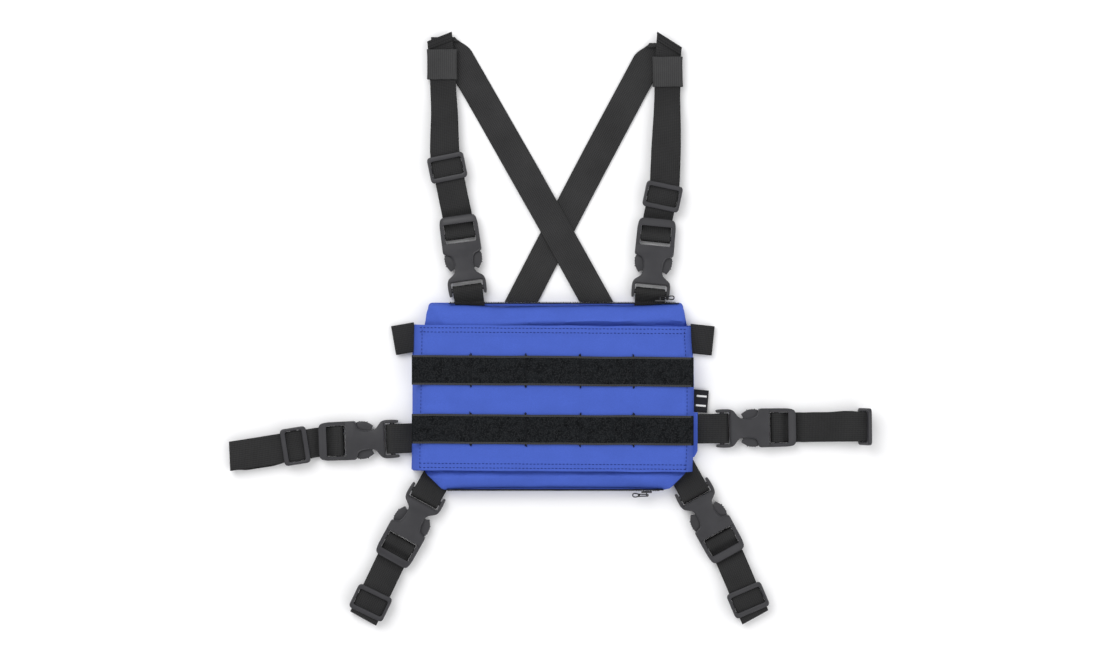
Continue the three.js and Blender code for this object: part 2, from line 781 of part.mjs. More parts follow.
// A tab folded double, with its ends sewn into a side seam.
function foldedTab(tab) {
  const half = tab.width / 2;
  const slit = lowerFace + tab.thickness;
  return box([-half, -sideTailDepth, lowerFace], [half, tab.reach, slit + gap + tab.thickness]).subtract(
    box([-tab.width, -sideTailDepth - 1, slit], [tab.width, tab.reach - tab.thickness, slit + gap]),
  );
}

// Zip tape with its coil, seen from the edge; direction is the way it faces.
function zipTape(zip, outside, direction) {
  const face = outside - direction * 0.1;
  const span = (inner, outer, halfWidth, from, to) => {
    const [low, high] = [face - direction * inner, face + direction * outer].sort((a, b) => a - b);
    return box([from, low, zipHeight - halfWidth], [to, high, zipHeight + halfWidth]);
  };
  const tape = span(zipTapeThickness, 0, zipTapeWidth / 2, zip.from, zip.to);
  return tape.add(span(0.5, zipCoilThickness, zipCoilWidth / 2, zip.from + 1, zip.to - 1));
}

// Slider with a bail for its pull; drawn facing +Y with its underside at Y = 0.
function zipSlider() {
  const half = sliderWidth / 2;
  const post = 0.9;
  const barY = sliderThickness + bailOpening + bailBar / 2;
  const plate = box([-sliderLength / 2, 0, -half], [sliderLength / 2, sliderThickness, half]);
  const arch = box([-bailBar / 2, sliderThickness - 0.5, -half + 0.4], [bailBar / 2, barY + bailBar / 2, half - 0.4]);
  const opening = box([-2, sliderThickness, -half + 0.4 + post], [2, barY - bailBar / 2, half - 0.4 - post]);
  return plate.add(arch).subtract(opening);
}

// Pull: a slim cord loop round the bail's bar that widens to a finger eye; drawn running along +X.
function zipPull() {
  const eye = 2.2;
  const wire = pullWire;
  const ring = bailBar / 2 + 0.35;
  const neck = ring + wire;
  const outer = [
    ...arc(0, 0, neck, 90, 270),
    [pullLength * 0.55, -neck],
    ...arc(pullLength - eye, 0, eye + wire * 0.4, -70, 70, 6),
    [pullLength * 0.55, neck],
  ];
  const near = arc(0, 0, ring, 15, 345, 10);
  const far = arc(pullLength - eye, 0, eye - wire * 0.6, -150, 150);
  const geometry = new THREE.ExtrudeGeometry(outline(outer, [near, far]), { depth: wire, bevelEnabled: false });
  geometry.translate(0, 0, -wire / 2);
  return solidOf(geometry);
}

function makeZip(name, zip, outside, direction) {
  add(harness, name + "_tape", zipTape(zip, outside, direction), colours.zipTape, 0.8);
  const slider = new THREE.Group();
  slider.position.set(zip.slider, outside + direction * (zipCoilThickness - 0.1 + gap), zipHeight);
  slider.rotation.z = direction > 0 ? 0 : Math.PI;
  harness.add(slider);
  add(slider, name + "_slider", zipSlider(), colours.zipTape, 0.4);
  const pull = new THREE.Group();
  pull.position.y = sliderThickness + bailOpening + bailBar / 2;
  slider.add(pull);
  add(pull, name + "_pull", zipPull(), colours.zipTape, 0.7);
}

function makePouch() {
  const rooms = arms.map((arm) => {
    const depth = arm.inSideSeam ? sideTailDepth : tailDepth;
    const rise = arm.inSideSeam ? 0.6 : 2.2;
    return tailRoom(arm.group, webbingWidth, -arm.seam - depth, -arm.seam + webbingWidth / 2, rise);
  });
  for (const tab of sideTabs) {
    const group = new THREE.Group();
    group.position.set(tab.side * sleeveHalfWidth, tab.height, 0);
    group.rotation.z = (-tab.side * Math.PI) / 2 + THREE.MathUtils.degToRad(tab.tilt);
    harness.add(group);
    add(group, tab.name, foldedTab(tab), tab.colour, 0.95);
    rooms.push(tailRoom(group, tab.width, -sideTailDepth, tab.reach, 0));
  }
  add(harness, "back_panel", backPanel(), colours.blue, 0.9);
  add(harness, "pouch_shell", pouchShell(rooms), colours.blue, 0.9);
  add(harness, "front_sleeve", frontSleeve(rooms), colours.blue, 0.9);
  add(harness, "loop_strip_upper", loopStrip(loopStripUpper), colours.pile, 1);
  add(harness, "loop_strip_lower", loopStrip(loopStripLower), colours.pile, 1);
  makeZip("top_zip", topZip, pouchTop, 1);
  makeZip("bottom_zip", bottomZip, pouchBottom, -1);
}

makePouch();
for (const arm of arms) {
  makeArm(arm);
}

export default harness;
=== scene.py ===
import json
import math
import random

import bpy
import numpy as np
from mathutils import Matrix, Vector, noise


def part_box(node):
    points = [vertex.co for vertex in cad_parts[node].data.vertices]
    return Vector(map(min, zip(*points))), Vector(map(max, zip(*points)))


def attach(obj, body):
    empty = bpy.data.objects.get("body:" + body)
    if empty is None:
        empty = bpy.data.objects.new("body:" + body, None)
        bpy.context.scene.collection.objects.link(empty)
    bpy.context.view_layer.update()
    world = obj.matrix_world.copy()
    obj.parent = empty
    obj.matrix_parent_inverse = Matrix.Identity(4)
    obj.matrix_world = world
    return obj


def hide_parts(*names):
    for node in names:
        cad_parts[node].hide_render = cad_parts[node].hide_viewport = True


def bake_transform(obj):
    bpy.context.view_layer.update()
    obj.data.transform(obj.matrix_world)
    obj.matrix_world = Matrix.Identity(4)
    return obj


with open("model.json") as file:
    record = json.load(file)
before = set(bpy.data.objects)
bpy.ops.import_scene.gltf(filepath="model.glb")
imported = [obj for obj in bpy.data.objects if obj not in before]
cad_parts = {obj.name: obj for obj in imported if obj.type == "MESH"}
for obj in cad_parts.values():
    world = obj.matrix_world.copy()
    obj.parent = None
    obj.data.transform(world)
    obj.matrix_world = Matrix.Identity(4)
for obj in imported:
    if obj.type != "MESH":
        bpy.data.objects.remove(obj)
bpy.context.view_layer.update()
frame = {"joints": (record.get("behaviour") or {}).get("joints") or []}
joints = {joint["name"]: joint for joint in frame["joints"]}
random.seed(11)
print("frame loaded")


# camera, floor and lights

millimetre = 0.001  # in the frame's metres
studio = {
    "wide": 0.935, "lens": 120, "sensor": 36, "centre": (-0.0023, 0.0595), "sky": 0.7,
    "floor": 6, "floorLevel": -0.0006, "floorColour": (0.93, 0.93, 0.94), "floorRough": 0.9,
    "keyLight": {"power": 28, "size": 1.6, "place": (-0.9, 1.1, 1.9)},
    "fillLight": {"power": 15, "size": 2.2, "place": (1.3, -0.6, 1.7)},
}


def makeStudio():
    bpy.ops.mesh.primitive_plane_add(size=studio["floor"], location=(0, 0, studio["floorLevel"]))
    floor = bpy.context.object
    floor.name = "floor"
    paper = bpy.data.materials.new("paleFloor")
    paper.use_nodes = True
    shader = paper.node_tree.nodes["Principled BSDF"]
    shader.inputs["Base Color"].default_value = (*studio["floorColour"], 1)
    shader.inputs["Roughness"].default_value = studio["floorRough"]
    floor.data.materials.append(paper)
    x, y = studio["centre"]
    for name in ("keyLight", "fillLight"):
        lamp = studio[name]
        bpy.ops.object.light_add(type="AREA", location=lamp["place"])
        light = bpy.context.object
        light.name = name
        light.data.energy = lamp["power"]
        light.data.size = lamp["size"]
        light.rotation_euler = (Vector((x, y, 0)) - Vector(lamp["place"])).to_track_quat("-Z", "Y").to_euler()
    world = bpy.data.worlds.new("studioSky")
    world.use_nodes = True
    world.node_tree.nodes["Background"].inputs["Color"].default_value = (1, 1, 1, 1)
    world.node_tree.nodes["Background"].inputs["Strength"].default_value = studio["sky"]
    bpy.context.scene.world = world
    distance = studio["lens"] * studio["wide"] / studio["sensor"]
    bpy.ops.object.camera_add(location=(x, y, distance), rotation=(0, 0, 0))
    camera = bpy.context.object
    camera.data.lens = studio["lens"]
    camera.data.sensor_width = studio["sensor"]
    camera.data.clip_end = 20
    bpy.context.scene.camera = camera
    bpy.context.scene.view_settings.view_transform = "Standard"


makeStudio()
print("studio ready")


# materials

# sizes of threads and grains are in metres; dark and light are the colour's darkest and lightest share
cloth = {"colour": (0.054, 0.104, 0.46), "rough": 0.72, "shine": 0.16, "thread": 0.00045, "waver": 0.6,
         "mottle": 0.018, "slub": 0.0011, "dark": 0.6, "light": 1.42, "bump": 0.5, "depth": 0.00012}
webbing = {"colour": (0.0202, 0.0202, 0.0206), "rough": 0.82, "rib": 0.0013, "cord": 0.0017, "waver": 0.4,
           "fuzz": 0.0009, "wear": 0.03, "dark": 0.25, "light": 1.9, "bump": 0.9, "depth": 0.00022}
pile = {"colour": (0.0088, 0.0098, 0.011), "rough": 0.95, "shine": 0.04, "loop": 0.0008, "patch": 0.004,
        "dark": 0.35, "light": 2.0, "bump": 0.8, "depth": 0.0006}
plastic = {"colour": (0.024, 0.0236, 0.0275), "rough": 0.36, "shine": 0.42, "grain": 0.0004, "flow": 0.011,
           "dark": 0.8, "light": 1.2, "bump": 0.35, "depth": 0.00006}
thread = {"shine": 0.1, "glossShine": 0.4, "twist": 0.0005, "dark": 0.6, "light": 1.4, "bump": 0.4,
          "depth": 0.0001}


def newMaterial(name, colour, rough, shine=0.12):
    made = bpy.data.materials.new(name)
    made.use_nodes = True
    shader = made.node_tree.nodes["Principled BSDF"]
    shader.inputs["Base Color"].default_value = (*colour, 1)
    shader.inputs["Roughness"].default_value = rough
    shader.inputs["Specular IOR Level"].default_value = shine
    return made, made.node_tree, shader


def node(tree, kind, **values):
    made = tree.nodes.new(kind)
    for key, value in values.items():
        if key in made.inputs:
            made.inputs[key].default_value = value
        else:
            setattr(made, key, value)
    return made


def bands(tree, coords, direction, pitch, distortion=0.0):
    # one set of threads across the given axis, pitch metres apart
    wave = node(tree, "ShaderNodeTexWave", wave_type="BANDS", bands_direction=direction, wave_profile="SIN")
    wave.inputs["Scale"].default_value = 0.3142 / pitch  # a wave texture's turn is pi / 10 long
    wave.inputs["Distortion"].default_value = distortion
    wave.inputs["Detail"].default_value = 0
    tree.links.new(coords, wave.inputs["Vector"])
    return wave.outputs["Fac"]


def tint(tree, colour, fac, shares):
    # the colour goes from its dark share to its light share with fac
    ramp = node(tree, "ShaderNodeValToRGB")
    for element, share in zip(ramp.color_ramp.elements, (shares["dark"], shares["light"])):
        element.color = (*[c * share for c in colour], 1)
    tree.links.new(fac, ramp.inputs["Fac"])
    return ramp.outputs["Color"]


def combine(tree, a, b, operation="MULTIPLY"):
    joined = node(tree, "ShaderNodeMath", operation=operation)
    tree.links.new(a, joined.inputs[0])
    tree.links.new(b, joined.inputs[1])
    return joined.outputs["Value"]


def spread(tree, value, **ends):
    # a value between the given ends, From and To, becomes a share
    scaled = node(tree, "ShaderNodeMapRange")
    for end, amount in ends.items():
        scaled.inputs[end.replace("M", " M").title()].default_value = amount
    tree.links.new(value, scaled.inputs["Value"])
    return scaled.outputs["Result"]


def bumpUp(tree, shader, height, relief):
    bump = node(tree, "ShaderNodeBump", Strength=relief["bump"], Distance=relief["depth"])
    tree.links.new(height, bump.inputs["Height"])
    tree.links.new(bump.outputs["Normal"], shader.inputs["Normal"])


def noiseFac(tree, coords, size, detail=3.0):
    cloud = node(tree, "ShaderNodeTexNoise", Scale=1 / size, Detail=detail)
    tree.links.new(coords, cloud.inputs["Vector"])
    return cloud.outputs["Fac"]


def coatedCloth(name="blueCloth"):
    made, tree, shader = newMaterial(name, cloth["colour"], cloth["rough"], cloth["shine"])
    coords = node(tree, "ShaderNodeTexCoord").outputs["Object"]
    warp = bands(tree, coords, "X", cloth["thread"], cloth["waver"])
    weft = bands(tree, coords, "Y", cloth["thread"], cloth["waver"])
    weave = combine(tree, warp, weft, "ADD")
    mottle = noiseFac(tree, coords, cloth["mottle"])
    slub = noiseFac(tree, coords, cloth["slub"], 1.0)
    shade = combine(tree, combine(tree, mottle, slub), weave, "ADD")
    share = spread(tree, shade, fromMax=2.2)
    tree.links.new(tint(tree, cloth["colour"], share, cloth), shader.inputs["Base Color"])
    bumpUp(tree, shader, weave, cloth)
    return made


def wovenStrap(name, lift=1.0, rib=1.0):
    # cords run along the strap and ribs cross it, on the strap's own UV map in metres
    colour = [c * lift for c in webbing["colour"]]
    made, tree, shader = newMaterial(name, colour, webbing["rough"])
    uv = node(tree, "ShaderNodeUVMap", uv_map="UVMap").outputs["UV"]
    cords = bands(tree, uv, "X", webbing["cord"])
    ribs = bands(tree, uv, "Y", webbing["rib"] * rib, webbing["waver"])
    weave = combine(tree, cords, ribs, "ADD")
    coords = node(tree, "ShaderNodeTexCoord").outputs["Object"]
    fuzz = noiseFac(tree, coords, webbing["fuzz"], 2.0)
    wear = noiseFac(tree, coords, webbing["wear"])
    height = combine(tree, weave, fuzz, "ADD")
    shade = combine(tree, combine(tree, height, wear, "ADD"), wear, "ADD")
    share = spread(tree, shade, fromMax=4.2)
    tree.links.new(tint(tree, colour, share, webbing), shader.inputs["Base Color"])
    bumpUp(tree, shader, height, webbing)
    return made


def fuzzyPile(name="loopPile"):
    made, tree, shader = newMaterial(name, pile["colour"], pile["rough"], pile["shine"])
    coords = node(tree, "ShaderNodeTexCoord").outputs["Object"]
    loop = noiseFac(tree, coords, pile["loop"], 4.0)
    patch = noiseFac(tree, coords, pile["patch"])
    share = spread(tree, combine(tree, loop, patch), fromMin=0.1, fromMax=0.45)
    tree.links.new(tint(tree, pile["colour"], share, pile), shader.inputs["Base Color"])
    bumpUp(tree, shader, loop, pile)
    return made


def satinPlastic(name="bucklePlastic"):
    made, tree, shader = newMaterial(name, plastic["colour"], plastic["rough"], plastic["shine"])
    coords = node(tree, "ShaderNodeTexCoord").outputs["Object"]
    grain = noiseFac(tree, coords, plastic["grain"], 2.0)
    flow = noiseFac(tree, coords, plastic["flow"])
    tree.links.new(tint(tree, plastic["colour"], flow, plastic), shader.inputs["Base Color"])
    rough = spread(tree, flow, toMin=plastic["rough"] - 0.08, toMax=plastic["rough"] + 0.12)
    tree.links.new(rough, shader.inputs["Roughness"])
    bumpUp(tree, shader, grain, plastic)
    return made


def plainThread(name, colour, rough=0.8):
    shine = thread["shine"] if rough > 0.5 else thread["glossShine"]
    made, tree, shader = newMaterial(name, colour, rough, shine)
    coords = node(tree, "ShaderNodeTexCoord").outputs["Object"]
    twist = noiseFac(tree, coords, thread["twist"], 2.0)
    tree.links.new(tint(tree, colour, twist, thread), shader.inputs["Base Color"])
    bumpUp(tree, shader, twist, thread)
    return made


looks = {
    "blue": coatedCloth(),
    "strap": wovenStrap("blackWebbing"),
    "backStrap": wovenStrap("backWebbing", lift=1.28),
    "elastic": wovenStrap("keeperElastic", lift=2.1, rib=0.6),
    "pile": fuzzyPile(),
    "selvedge": plainThread("tapeSelvedge", (0.06, 0.061, 0.064)),
    "tuft": plainThread("pileTufts", (0.02, 0.021, 0.023)),
    "plastic": satinPlastic(),
    "blueThread": plainThread("blueThread", (0.012, 0.022, 0.13)),
    "blackThread": plainThread("blackThread", (0.012, 0.012, 0.014)),
    "tape": plainThread("zipTape", (0.014, 0.014, 0.016)),
    "coil": plainThread("zipCoil", (0.03, 0.03, 0.033), 0.4),
    "enamel": plainThread("blackEnamel", (0.03, 0.03, 0.034), 0.3),
    "cord": plainThread("pullCord", (0.02, 0.02, 0.022)),
    "label": plainThread("labelWeave", (0.02, 0.02, 0.023)),
    "white": plainThread("whiteWeave", (0.75, 0.75, 0.74)),
}
print("materials ready")


# modelling helpers: a piece is modelled in millimetres, then settled into the frame in metres


def only(obj):
    if bpy.context.mode != "OBJECT":
        bpy.ops.object.mode_set(mode="OBJECT")
    bpy.ops.object.select_all(action="DESELECT")
    obj.hide_set(False)
    obj.select_set(True)
    bpy.context.view_layer.objects.active = obj


def modify(obj, kind, **values):
    # adds one modifier and applies it
    only(obj)
    modifier = obj.modifiers.new(kind.lower(), kind)
    for key, value in values.items():
        setattr(modifier, key, value)
    bpy.ops.object.modifier_apply(modifier=modifier.name)


def weld(obj, gap=0.001, outwards=True):
    # merges doubles and, unless told not to, points the faces outwards
    only(obj)
    bpy.ops.object.mode_set(mode="EDIT")
    bpy.ops.mesh.select_all(action="SELECT")
    bpy.ops.mesh.remove_doubles(threshold=gap)
    if outwards:
        bpy.ops.mesh.normals_make_consistent(inside=False)
    bpy.ops.object.mode_set(mode="OBJECT")


def mapWeave(obj, spot):
    # the weave's own map, in metres; spot gives each vertex's place across and along the band
    layer = obj.data.uv_layers["UVMap"]
    for loop in obj.data.loops:
        across, along = spot(loop.vertex_index)
        layer.data[loop.index].uv = (across * millimetre, along * millimetre)


def smooth(obj, angle=35):
    only(obj)
    bpy.ops.object.shade_smooth_by_angle(angle=math.radians(angle))


def joined(objs):
    only(objs[0])
    for obj in objs:
        obj.select_set(True)
    if len(objs) > 1:
        bpy.ops.object.join()
    return bpy.context.object


def rounded(corners, steps=6):
    # a closed outline whose corners, each x, y and radius, are rounded
    points = []
    count = len(corners)
    for i, (x, y, radius) in enumerate(corners):
        corner = Vector((x, y))
        ends = []
        for x2, y2, _ in (corners[i - 1], corners[(i + 1) % count]):
            way = Vector((x2, y2)) - corner
            ends.append(corner + way.normalized() * min(radius, way.length * 0.49))
        for k in range(steps + 1):
            t = k / steps
            points.append(ends[0] * (1 - t) ** 2 + corner * 2 * t * (1 - t) + ends[1] * t * t)
    return [(p.x, p.y) for p in points]


def mirrored(half):
    return half + [(-x, y, radius) for x, y, radius in reversed(half)]


def plate(name, points, low, high, rim=0.0, segments=3):
    # a flat outline raised between two heights, with a rounded rim
    bpy.ops.mesh.primitive_circle_add(vertices=len(points), radius=1, fill_type="NGON")
    obj = bpy.context.object
    obj.name = name
    for vertex, (x, y) in zip(obj.data.vertices, points):
        vertex.co = (x, y, low)
    bpy.ops.object.mode_set(mode="EDIT")
    bpy.ops.mesh.select_all(action="SELECT")
    bpy.ops.mesh.extrude_region_move(TRANSFORM_OT_translate={"value": (0, 0, high - low)})
    bpy.ops.object.mode_set(mode="OBJECT")
    weld(obj)
    if rim:
        modify(obj, "BEVEL", width=rim, segments=segments, limit_method="ANGLE", angle_limit=math.radians(50))
    return obj


def block(low, high):
    centre = [(a + b) / 2 for a, b in zip(low, high)]
    bpy.ops.mesh.primitive_cube_add(size=1, location=centre, scale=[b - a for a, b in zip(low, high)])
    obj = bpy.context.object
    bpy.ops.object.transform_apply(location=True, rotation=True, scale=True)
    return obj


def rod(radius, length, place, turn=(0, math.pi / 2, 0), vertices=24):
    # a round bar, along X unless turned
    bpy.ops.mesh.primitive_cylinder_add(vertices=vertices, radius=radius, depth=length, location=place,
                                        rotation=turn)
    obj = bpy.context.object
    bpy.ops.object.transform_apply(location=True, rotation=True, scale=True)
    return obj


def carve(obj, tool, operation="DIFFERENCE"):
    modify(obj, "BOOLEAN", object=tool, operation=operation, solver="EXACT")
    bpy.data.objects.remove(tool)


def wire(name, points, radius, closed=False):
    # a round thread or lip through points
    curve = bpy.data.curves.new(name, "CURVE")
    curve.dimensions = "3D"
    curve.bevel_depth = radius
    curve.bevel_resolution = 2
    curve.use_fill_caps = True
    spline = curve.splines.new("POLY")
    spline.points.add(len(points) - 1)
    for point, place in zip(spline.points, points):
        point.co = (*place, 1)
    spline.use_cyclic_u = closed
    obj = bpy.data.objects.new(name, curve)
    bpy.context.scene.collection.objects.link(obj)
    only(obj)
    bpy.ops.object.convert(target="MESH")
    return bpy.context.object


def settle(obj, look, place=None):
    # millimetres in the piece's own frame become metres in the object's frame
    obj.data.transform(Matrix.Scale(millimetre, 4) @ (place or Matrix()))
    obj.data.materials.clear()
    obj.data.materials.append(looks[look])
    return obj


def copyOf(obj, name):
    twin = obj.copy()
    twin.data = obj.data.copy()
    twin.name = name
    bpy.context.scene.collection.objects.link(twin)
    return twin


def ramp(value, start, end):
    t = min(1, max(0, (value - start) / (end - start)))
    return t * t * (3 - 2 * t)


def sampled(line, pitch):
    # the same line with points pitch apart
    points = [Vector(p) for p in line]
    marks = [0]
    for a, b in zip(points, points[1:]):
        marks.append(marks[-1] + (b - a).length)
    steps = max(2, round(marks[-1] / pitch))
    spots = np.linspace(0, marks[-1], steps + 1)
    columns = [np.interp(spots, marks, [p[i] for p in points]) for i in range(len(points[0]))]
    return list(zip(*columns))


def arcLine(y, z, radius, start, end, steps=10):
    angles = [math.radians(start + (end - start) * k / steps) for k in range(steps + 1)]
    return [(y + radius * math.cos(a), z + radius * math.sin(a)) for a in angles]


def layWebbing(name, line, width, thick, spot, closed=False, across=8):
    # a flat band along a line of (along, height), whose spot function gives each point's place
    bpy.ops.mesh.primitive_grid_add(x_subdivisions=across, y_subdivisions=len(line) - 1, size=1)
    obj = bpy.context.object
    obj.name = name
    steps = [0]
    for a, b in zip(line, line[1:]):
        steps.append(steps[-1] + math.dist(a, b))
    rows = [round((v.co.y + 0.5) * (len(line) - 1)) for v in obj.data.vertices]
    sides = [v.co.x * width for v in obj.data.vertices]
    mapWeave(obj, lambda i: (sides[i], steps[rows[i]]))
    for vertex, row, side in zip(obj.data.vertices, rows, sides):
        vertex.co = spot(side, *line[row])
    if closed:
        weld(obj, 0.01, outwards=False)
    modify(obj, "SOLIDIFY", thickness=thick, offset=0)
    modify(obj, "BEVEL", width=0.4, segments=2, limit_method="ANGLE", angle_limit=math.radians(60))
    smooth(obj, 60)
    return obj


bpy.ops.mesh.primitive_uv_sphere_add(segments=6, ring_count=4, radius=1)
stitchShape = bpy.context.object
stitchShape.name = "stitchShape"


def sew(name, places, length, look, thickness=0.32):
    # one mesh of stitches, each given by its middle, its direction and the way up, in millimetres
    shape = np.array([v.co for v in stitchShape.data.vertices])
    faces = [list(f.vertices) for f in stitchShape.data.polygons]
    points, polygons = [], []
    for middle, way, up in places:
        way, up = Vector(way).normalized(), Vector(up).normalized()
        side = up.cross(way)
        base = len(points)
        for x, y, z in shape:
            across = side * y * thickness + up * z * thickness * 0.7
            points.append(Vector(middle) + way * x * length / 2 + across)
        polygons += [[i + base for i in face] for face in faces]
    mesh = bpy.data.meshes.new(name)
    mesh.from_pydata(points, [], polygons)
    obj = bpy.data.objects.new(name, mesh)
    bpy.context.scene.collection.objects.link(obj)
    smooth(obj, 80)
    return settle(obj, look)


def seam(start, end, pitch, surface, wander=0.12):
    # stitch places from start to end, both x and y, lying on a surface height
    start, end = Vector(start), Vector(end)
    count = max(1, round((end - start).length / pitch))
    way = (end - start).normalized()
    side = Vector((-way.y, way.x))
    places = []
    for k in range(count):
        spot = start + (end - start) * (k + 0.5) / count + side * random.uniform(-wander, wander)
        places.append(((spot.x, spot.y, surface(spot.x, spot.y)), (way.x, way.y, 0), (0, 0, 1)))
    return places


print("helpers ready")


# the arms: each has its own frame, Y out along the buckle from the plug's outer end, in millimetres;
# low, high and pressed are the heights of the webbing's layers, bar is the height of the buckle's bars
buckle = {"half": 16.4, "low": 0.3, "high": 11.1, "frameLow": 2.3, "frameHigh": 9.1, "prongRoot": 20.5,
          "mouth": 11, "windowHalf": 13.1, "windowFrom": 45.2, "windowTo": 61.6, "end": 69}
levels = {"low": 2.65, "between": 5, "high": 8.75, "pressed": 4.45, "bar": 5.7, "turn": 3.05, "socketBar": 51.8,
          "plugBar": 5.4}
strap = {"width": 25, "thick": 1.4, "pitch": 1.6, "anchorPitch": 1.2, "courseStart": 66, "keeperLift": 1.4,
         "squeeze": 0.12, "squeezeFrom": 118, "closeFrom": 150, "closeTo": 175, "ripple": 0.25}
arms = {
    "left_shoulder": {"seam": 6.4, "glideAt": 109.5, "keeperAt": 197, "stubSlope": 12, "keeperTurn": -3,
                      "course": [(-91.8, 207), (-92, 245), (-94, 286.5), (-96, 307)]},
    "right_shoulder": {"seam": 3.4, "glideAt": 87.2, "keeperAt": 193, "stubSlope": -24, "keeperTurn": 2,
                       "course": [(95, 180), (97, 236), (97.6, 284.6), (99, 304.5)]},
    "left_waist": {"seam": 10.9, "loopEnd": 144.5, "sideSeam": True, "skew": -1.6},
    "right_waist": {"seam": 18.8, "loopEnd": 130, "sideSeam": True, "skew": -0.9},
    "left_lower": {"seam": 9, "loopEnd": 122.5, "skew": -2.0},
    "right_lower": {"seam": 9, "loopEnd": 124.5, "skew": -0.7},
}


def setUpArms():
    for name, arm in arms.items():
        heading = Vector(joints[name + "_release"]["axis"])
        roots = [Vector(joints[name + side + "_press"]["pos_m"]) for side in ("_prong_a", "_prong_b")]
        origin = (roots[0] + roots[1]) / (2 * millimetre) - heading * buckle["prongRoot"]
        origin.z = 0
        side = Vector((heading.y, -heading.x, 0))
        arm["place"] = Matrix.Translation(origin) @ Matrix((side, heading, (0, 0, 1))).transposed().to_4x4()
        inward = arm["place"].inverted()
        if "course" in arm:
            turns = [inward @ Vector((x, y, 0)) for x, y in arm["course"]]
        else:
            travel = joints.get(name + "_slide_travel")
            if travel:
                way = Vector(travel["axis"])
            else:
                across = Vector(joints[name + "_slide_tilt"]["axis"])
                way = Vector((-across.y, across.x, 0))
            way = inward.to_3x3() @ way
            far = 90
            turns = [Vector((way.x / way.y * far, strap["courseStart"] + far, 0))]
        arm["turns"] = [Vector((0, strap["courseStart"], 0))] + turns
        arm["stubEnd"] = turns[-1].y if "keeperAt" in arm else None


def bend(arm, along):
    # how far the webbing's middle lies to the side of the buckle's axis
    turns = arm["turns"]
    if along <= turns[0].y:
        return 0
    for before, after in zip(turns, turns[1:]):
        if along <= after.y or after is turns[-1]:
            return before.x + (along - before.y) / (after.y - before.y) * (after.x - before.x)


def drift(arm, along):
    return sum(bend(arm, along + step) for step in (-6, -3, 0, 3, 6)) / 5


def rise(name, along):
    arm = arms[name]
    if "keeperAt" in arm:
        return strap["keeperLift"] * ramp(along, strap["closeFrom"], strap["closeTo"])
    if name == "right_waist":
        return 5.6 * ramp(along, 92, 126)  # up to the slide that stands on edge
    return 0


def upperHeight(arm, along):
    under = ramp(along, levels["socketBar"] + 2, 60)
    again = ramp(along, 69, 76)
    together = ramp(along, strap["closeFrom"], strap["closeTo"]) if "keeperAt" in arm else 0
    return levels["high"] - (under - again + together) * (levels["high"] - levels["pressed"])


def strapSpot(name):
    # where a point of this arm's webbing lies in the arm's own frame
    arm = arms[name]

    def spot(side, along, height):
        width, slope = 1, 0
        if "keeperAt" in arm:
            end = arm["stubEnd"]
            width = 1 - strap["squeeze"] * ramp(along, strap["squeezeFrom"], strap["closeTo"])
            slope = math.tan(math.radians(arm["stubSlope"])) * ramp(along, end - 14, end - 6)
        elif height < levels["between"]:  # the lower layer peeks out on one side
            end = arm["loopEnd"]
            side += arm["skew"] * ramp(along, 95, 110) * (1 - ramp(along, end - 16, end - 5))
        ripple = strap["ripple"] * noise.noise((along * 0.045, side * 0.03, height * 0.3 + len(name)))
        x = side * width + drift(arm, along) + ripple
        return (x, along + side * slope, height + rise(name, along) + ripple * 0.6)

    return spot


setUpArms()
print("arms set up")


# the side-release buckle and the slides: modelled once, then copied to each arm

barRadius, barLength = 2, 27.6
slide = {"half": 15.7, "reach": 11.2, "corner": 3.8, "windowHalf": 13.1, "windowReach": 7.1, "tilt": 70}


def modelPlug():
    half = [(7.9, 19.1, 0.3), (8.6, 18.2, 1), (14.2, 16.4, 4), (16.3, 12.5, 3), (16.3, 4.5, 3),
            (15.7, -0.2, 1.4), (13.5, 0.6, 0.7), (13.5, 11.9, 1.2)]
    body = plate("plug", rounded(mirrored(half)), 2.8, 8.6, 1.1, 4)
    tongue = plate("tongue", rounded(mirrored([(2.6, 43.5, 1), (2.6, 18, 0.3)])), 4.3, 7.1, 0.4)
    bar = rod(barRadius, barLength, (0, levels["plugBar"], levels["bar"]))
    body = joined([body, tongue, bar])
    smooth(body, 32)
    return body


def modelProng(side):
    outline = [(4, 19.6, 0.4), (7.2, 19.6, 0.5), (8.6, 23.8, 1.5), (11.9, 21.5, 0.7), (15.3, 26.6, 5),
               (16.1, 31.5, 4), (15.4, 35.7, 0.6), (13.5, 35.8, 0.5), (13.4, 39.6, 1.5), (11.4, 42.5, 1),
               (9.8, 42.5, 0.8), (8.6, 35.5, 4), (5.4, 27, 4)]
    pad = plate("prong", rounded([(x * side, y, radius) for x, y, radius in outline]), 2.9, 8.5, 0.8, 4)
    ribs = []
    for k in range(4):  # grip ribs on the pressed side
        place = (side * (15.25 + 0.2 * k), 26.6 + 2.2 * k, levels["bar"])
        ribs.append(rod(0.45, 4.2, place, (0, 0, 0), 12))
    pad = joined([pad] + ribs)
    smooth(pad, 32)
    return pad


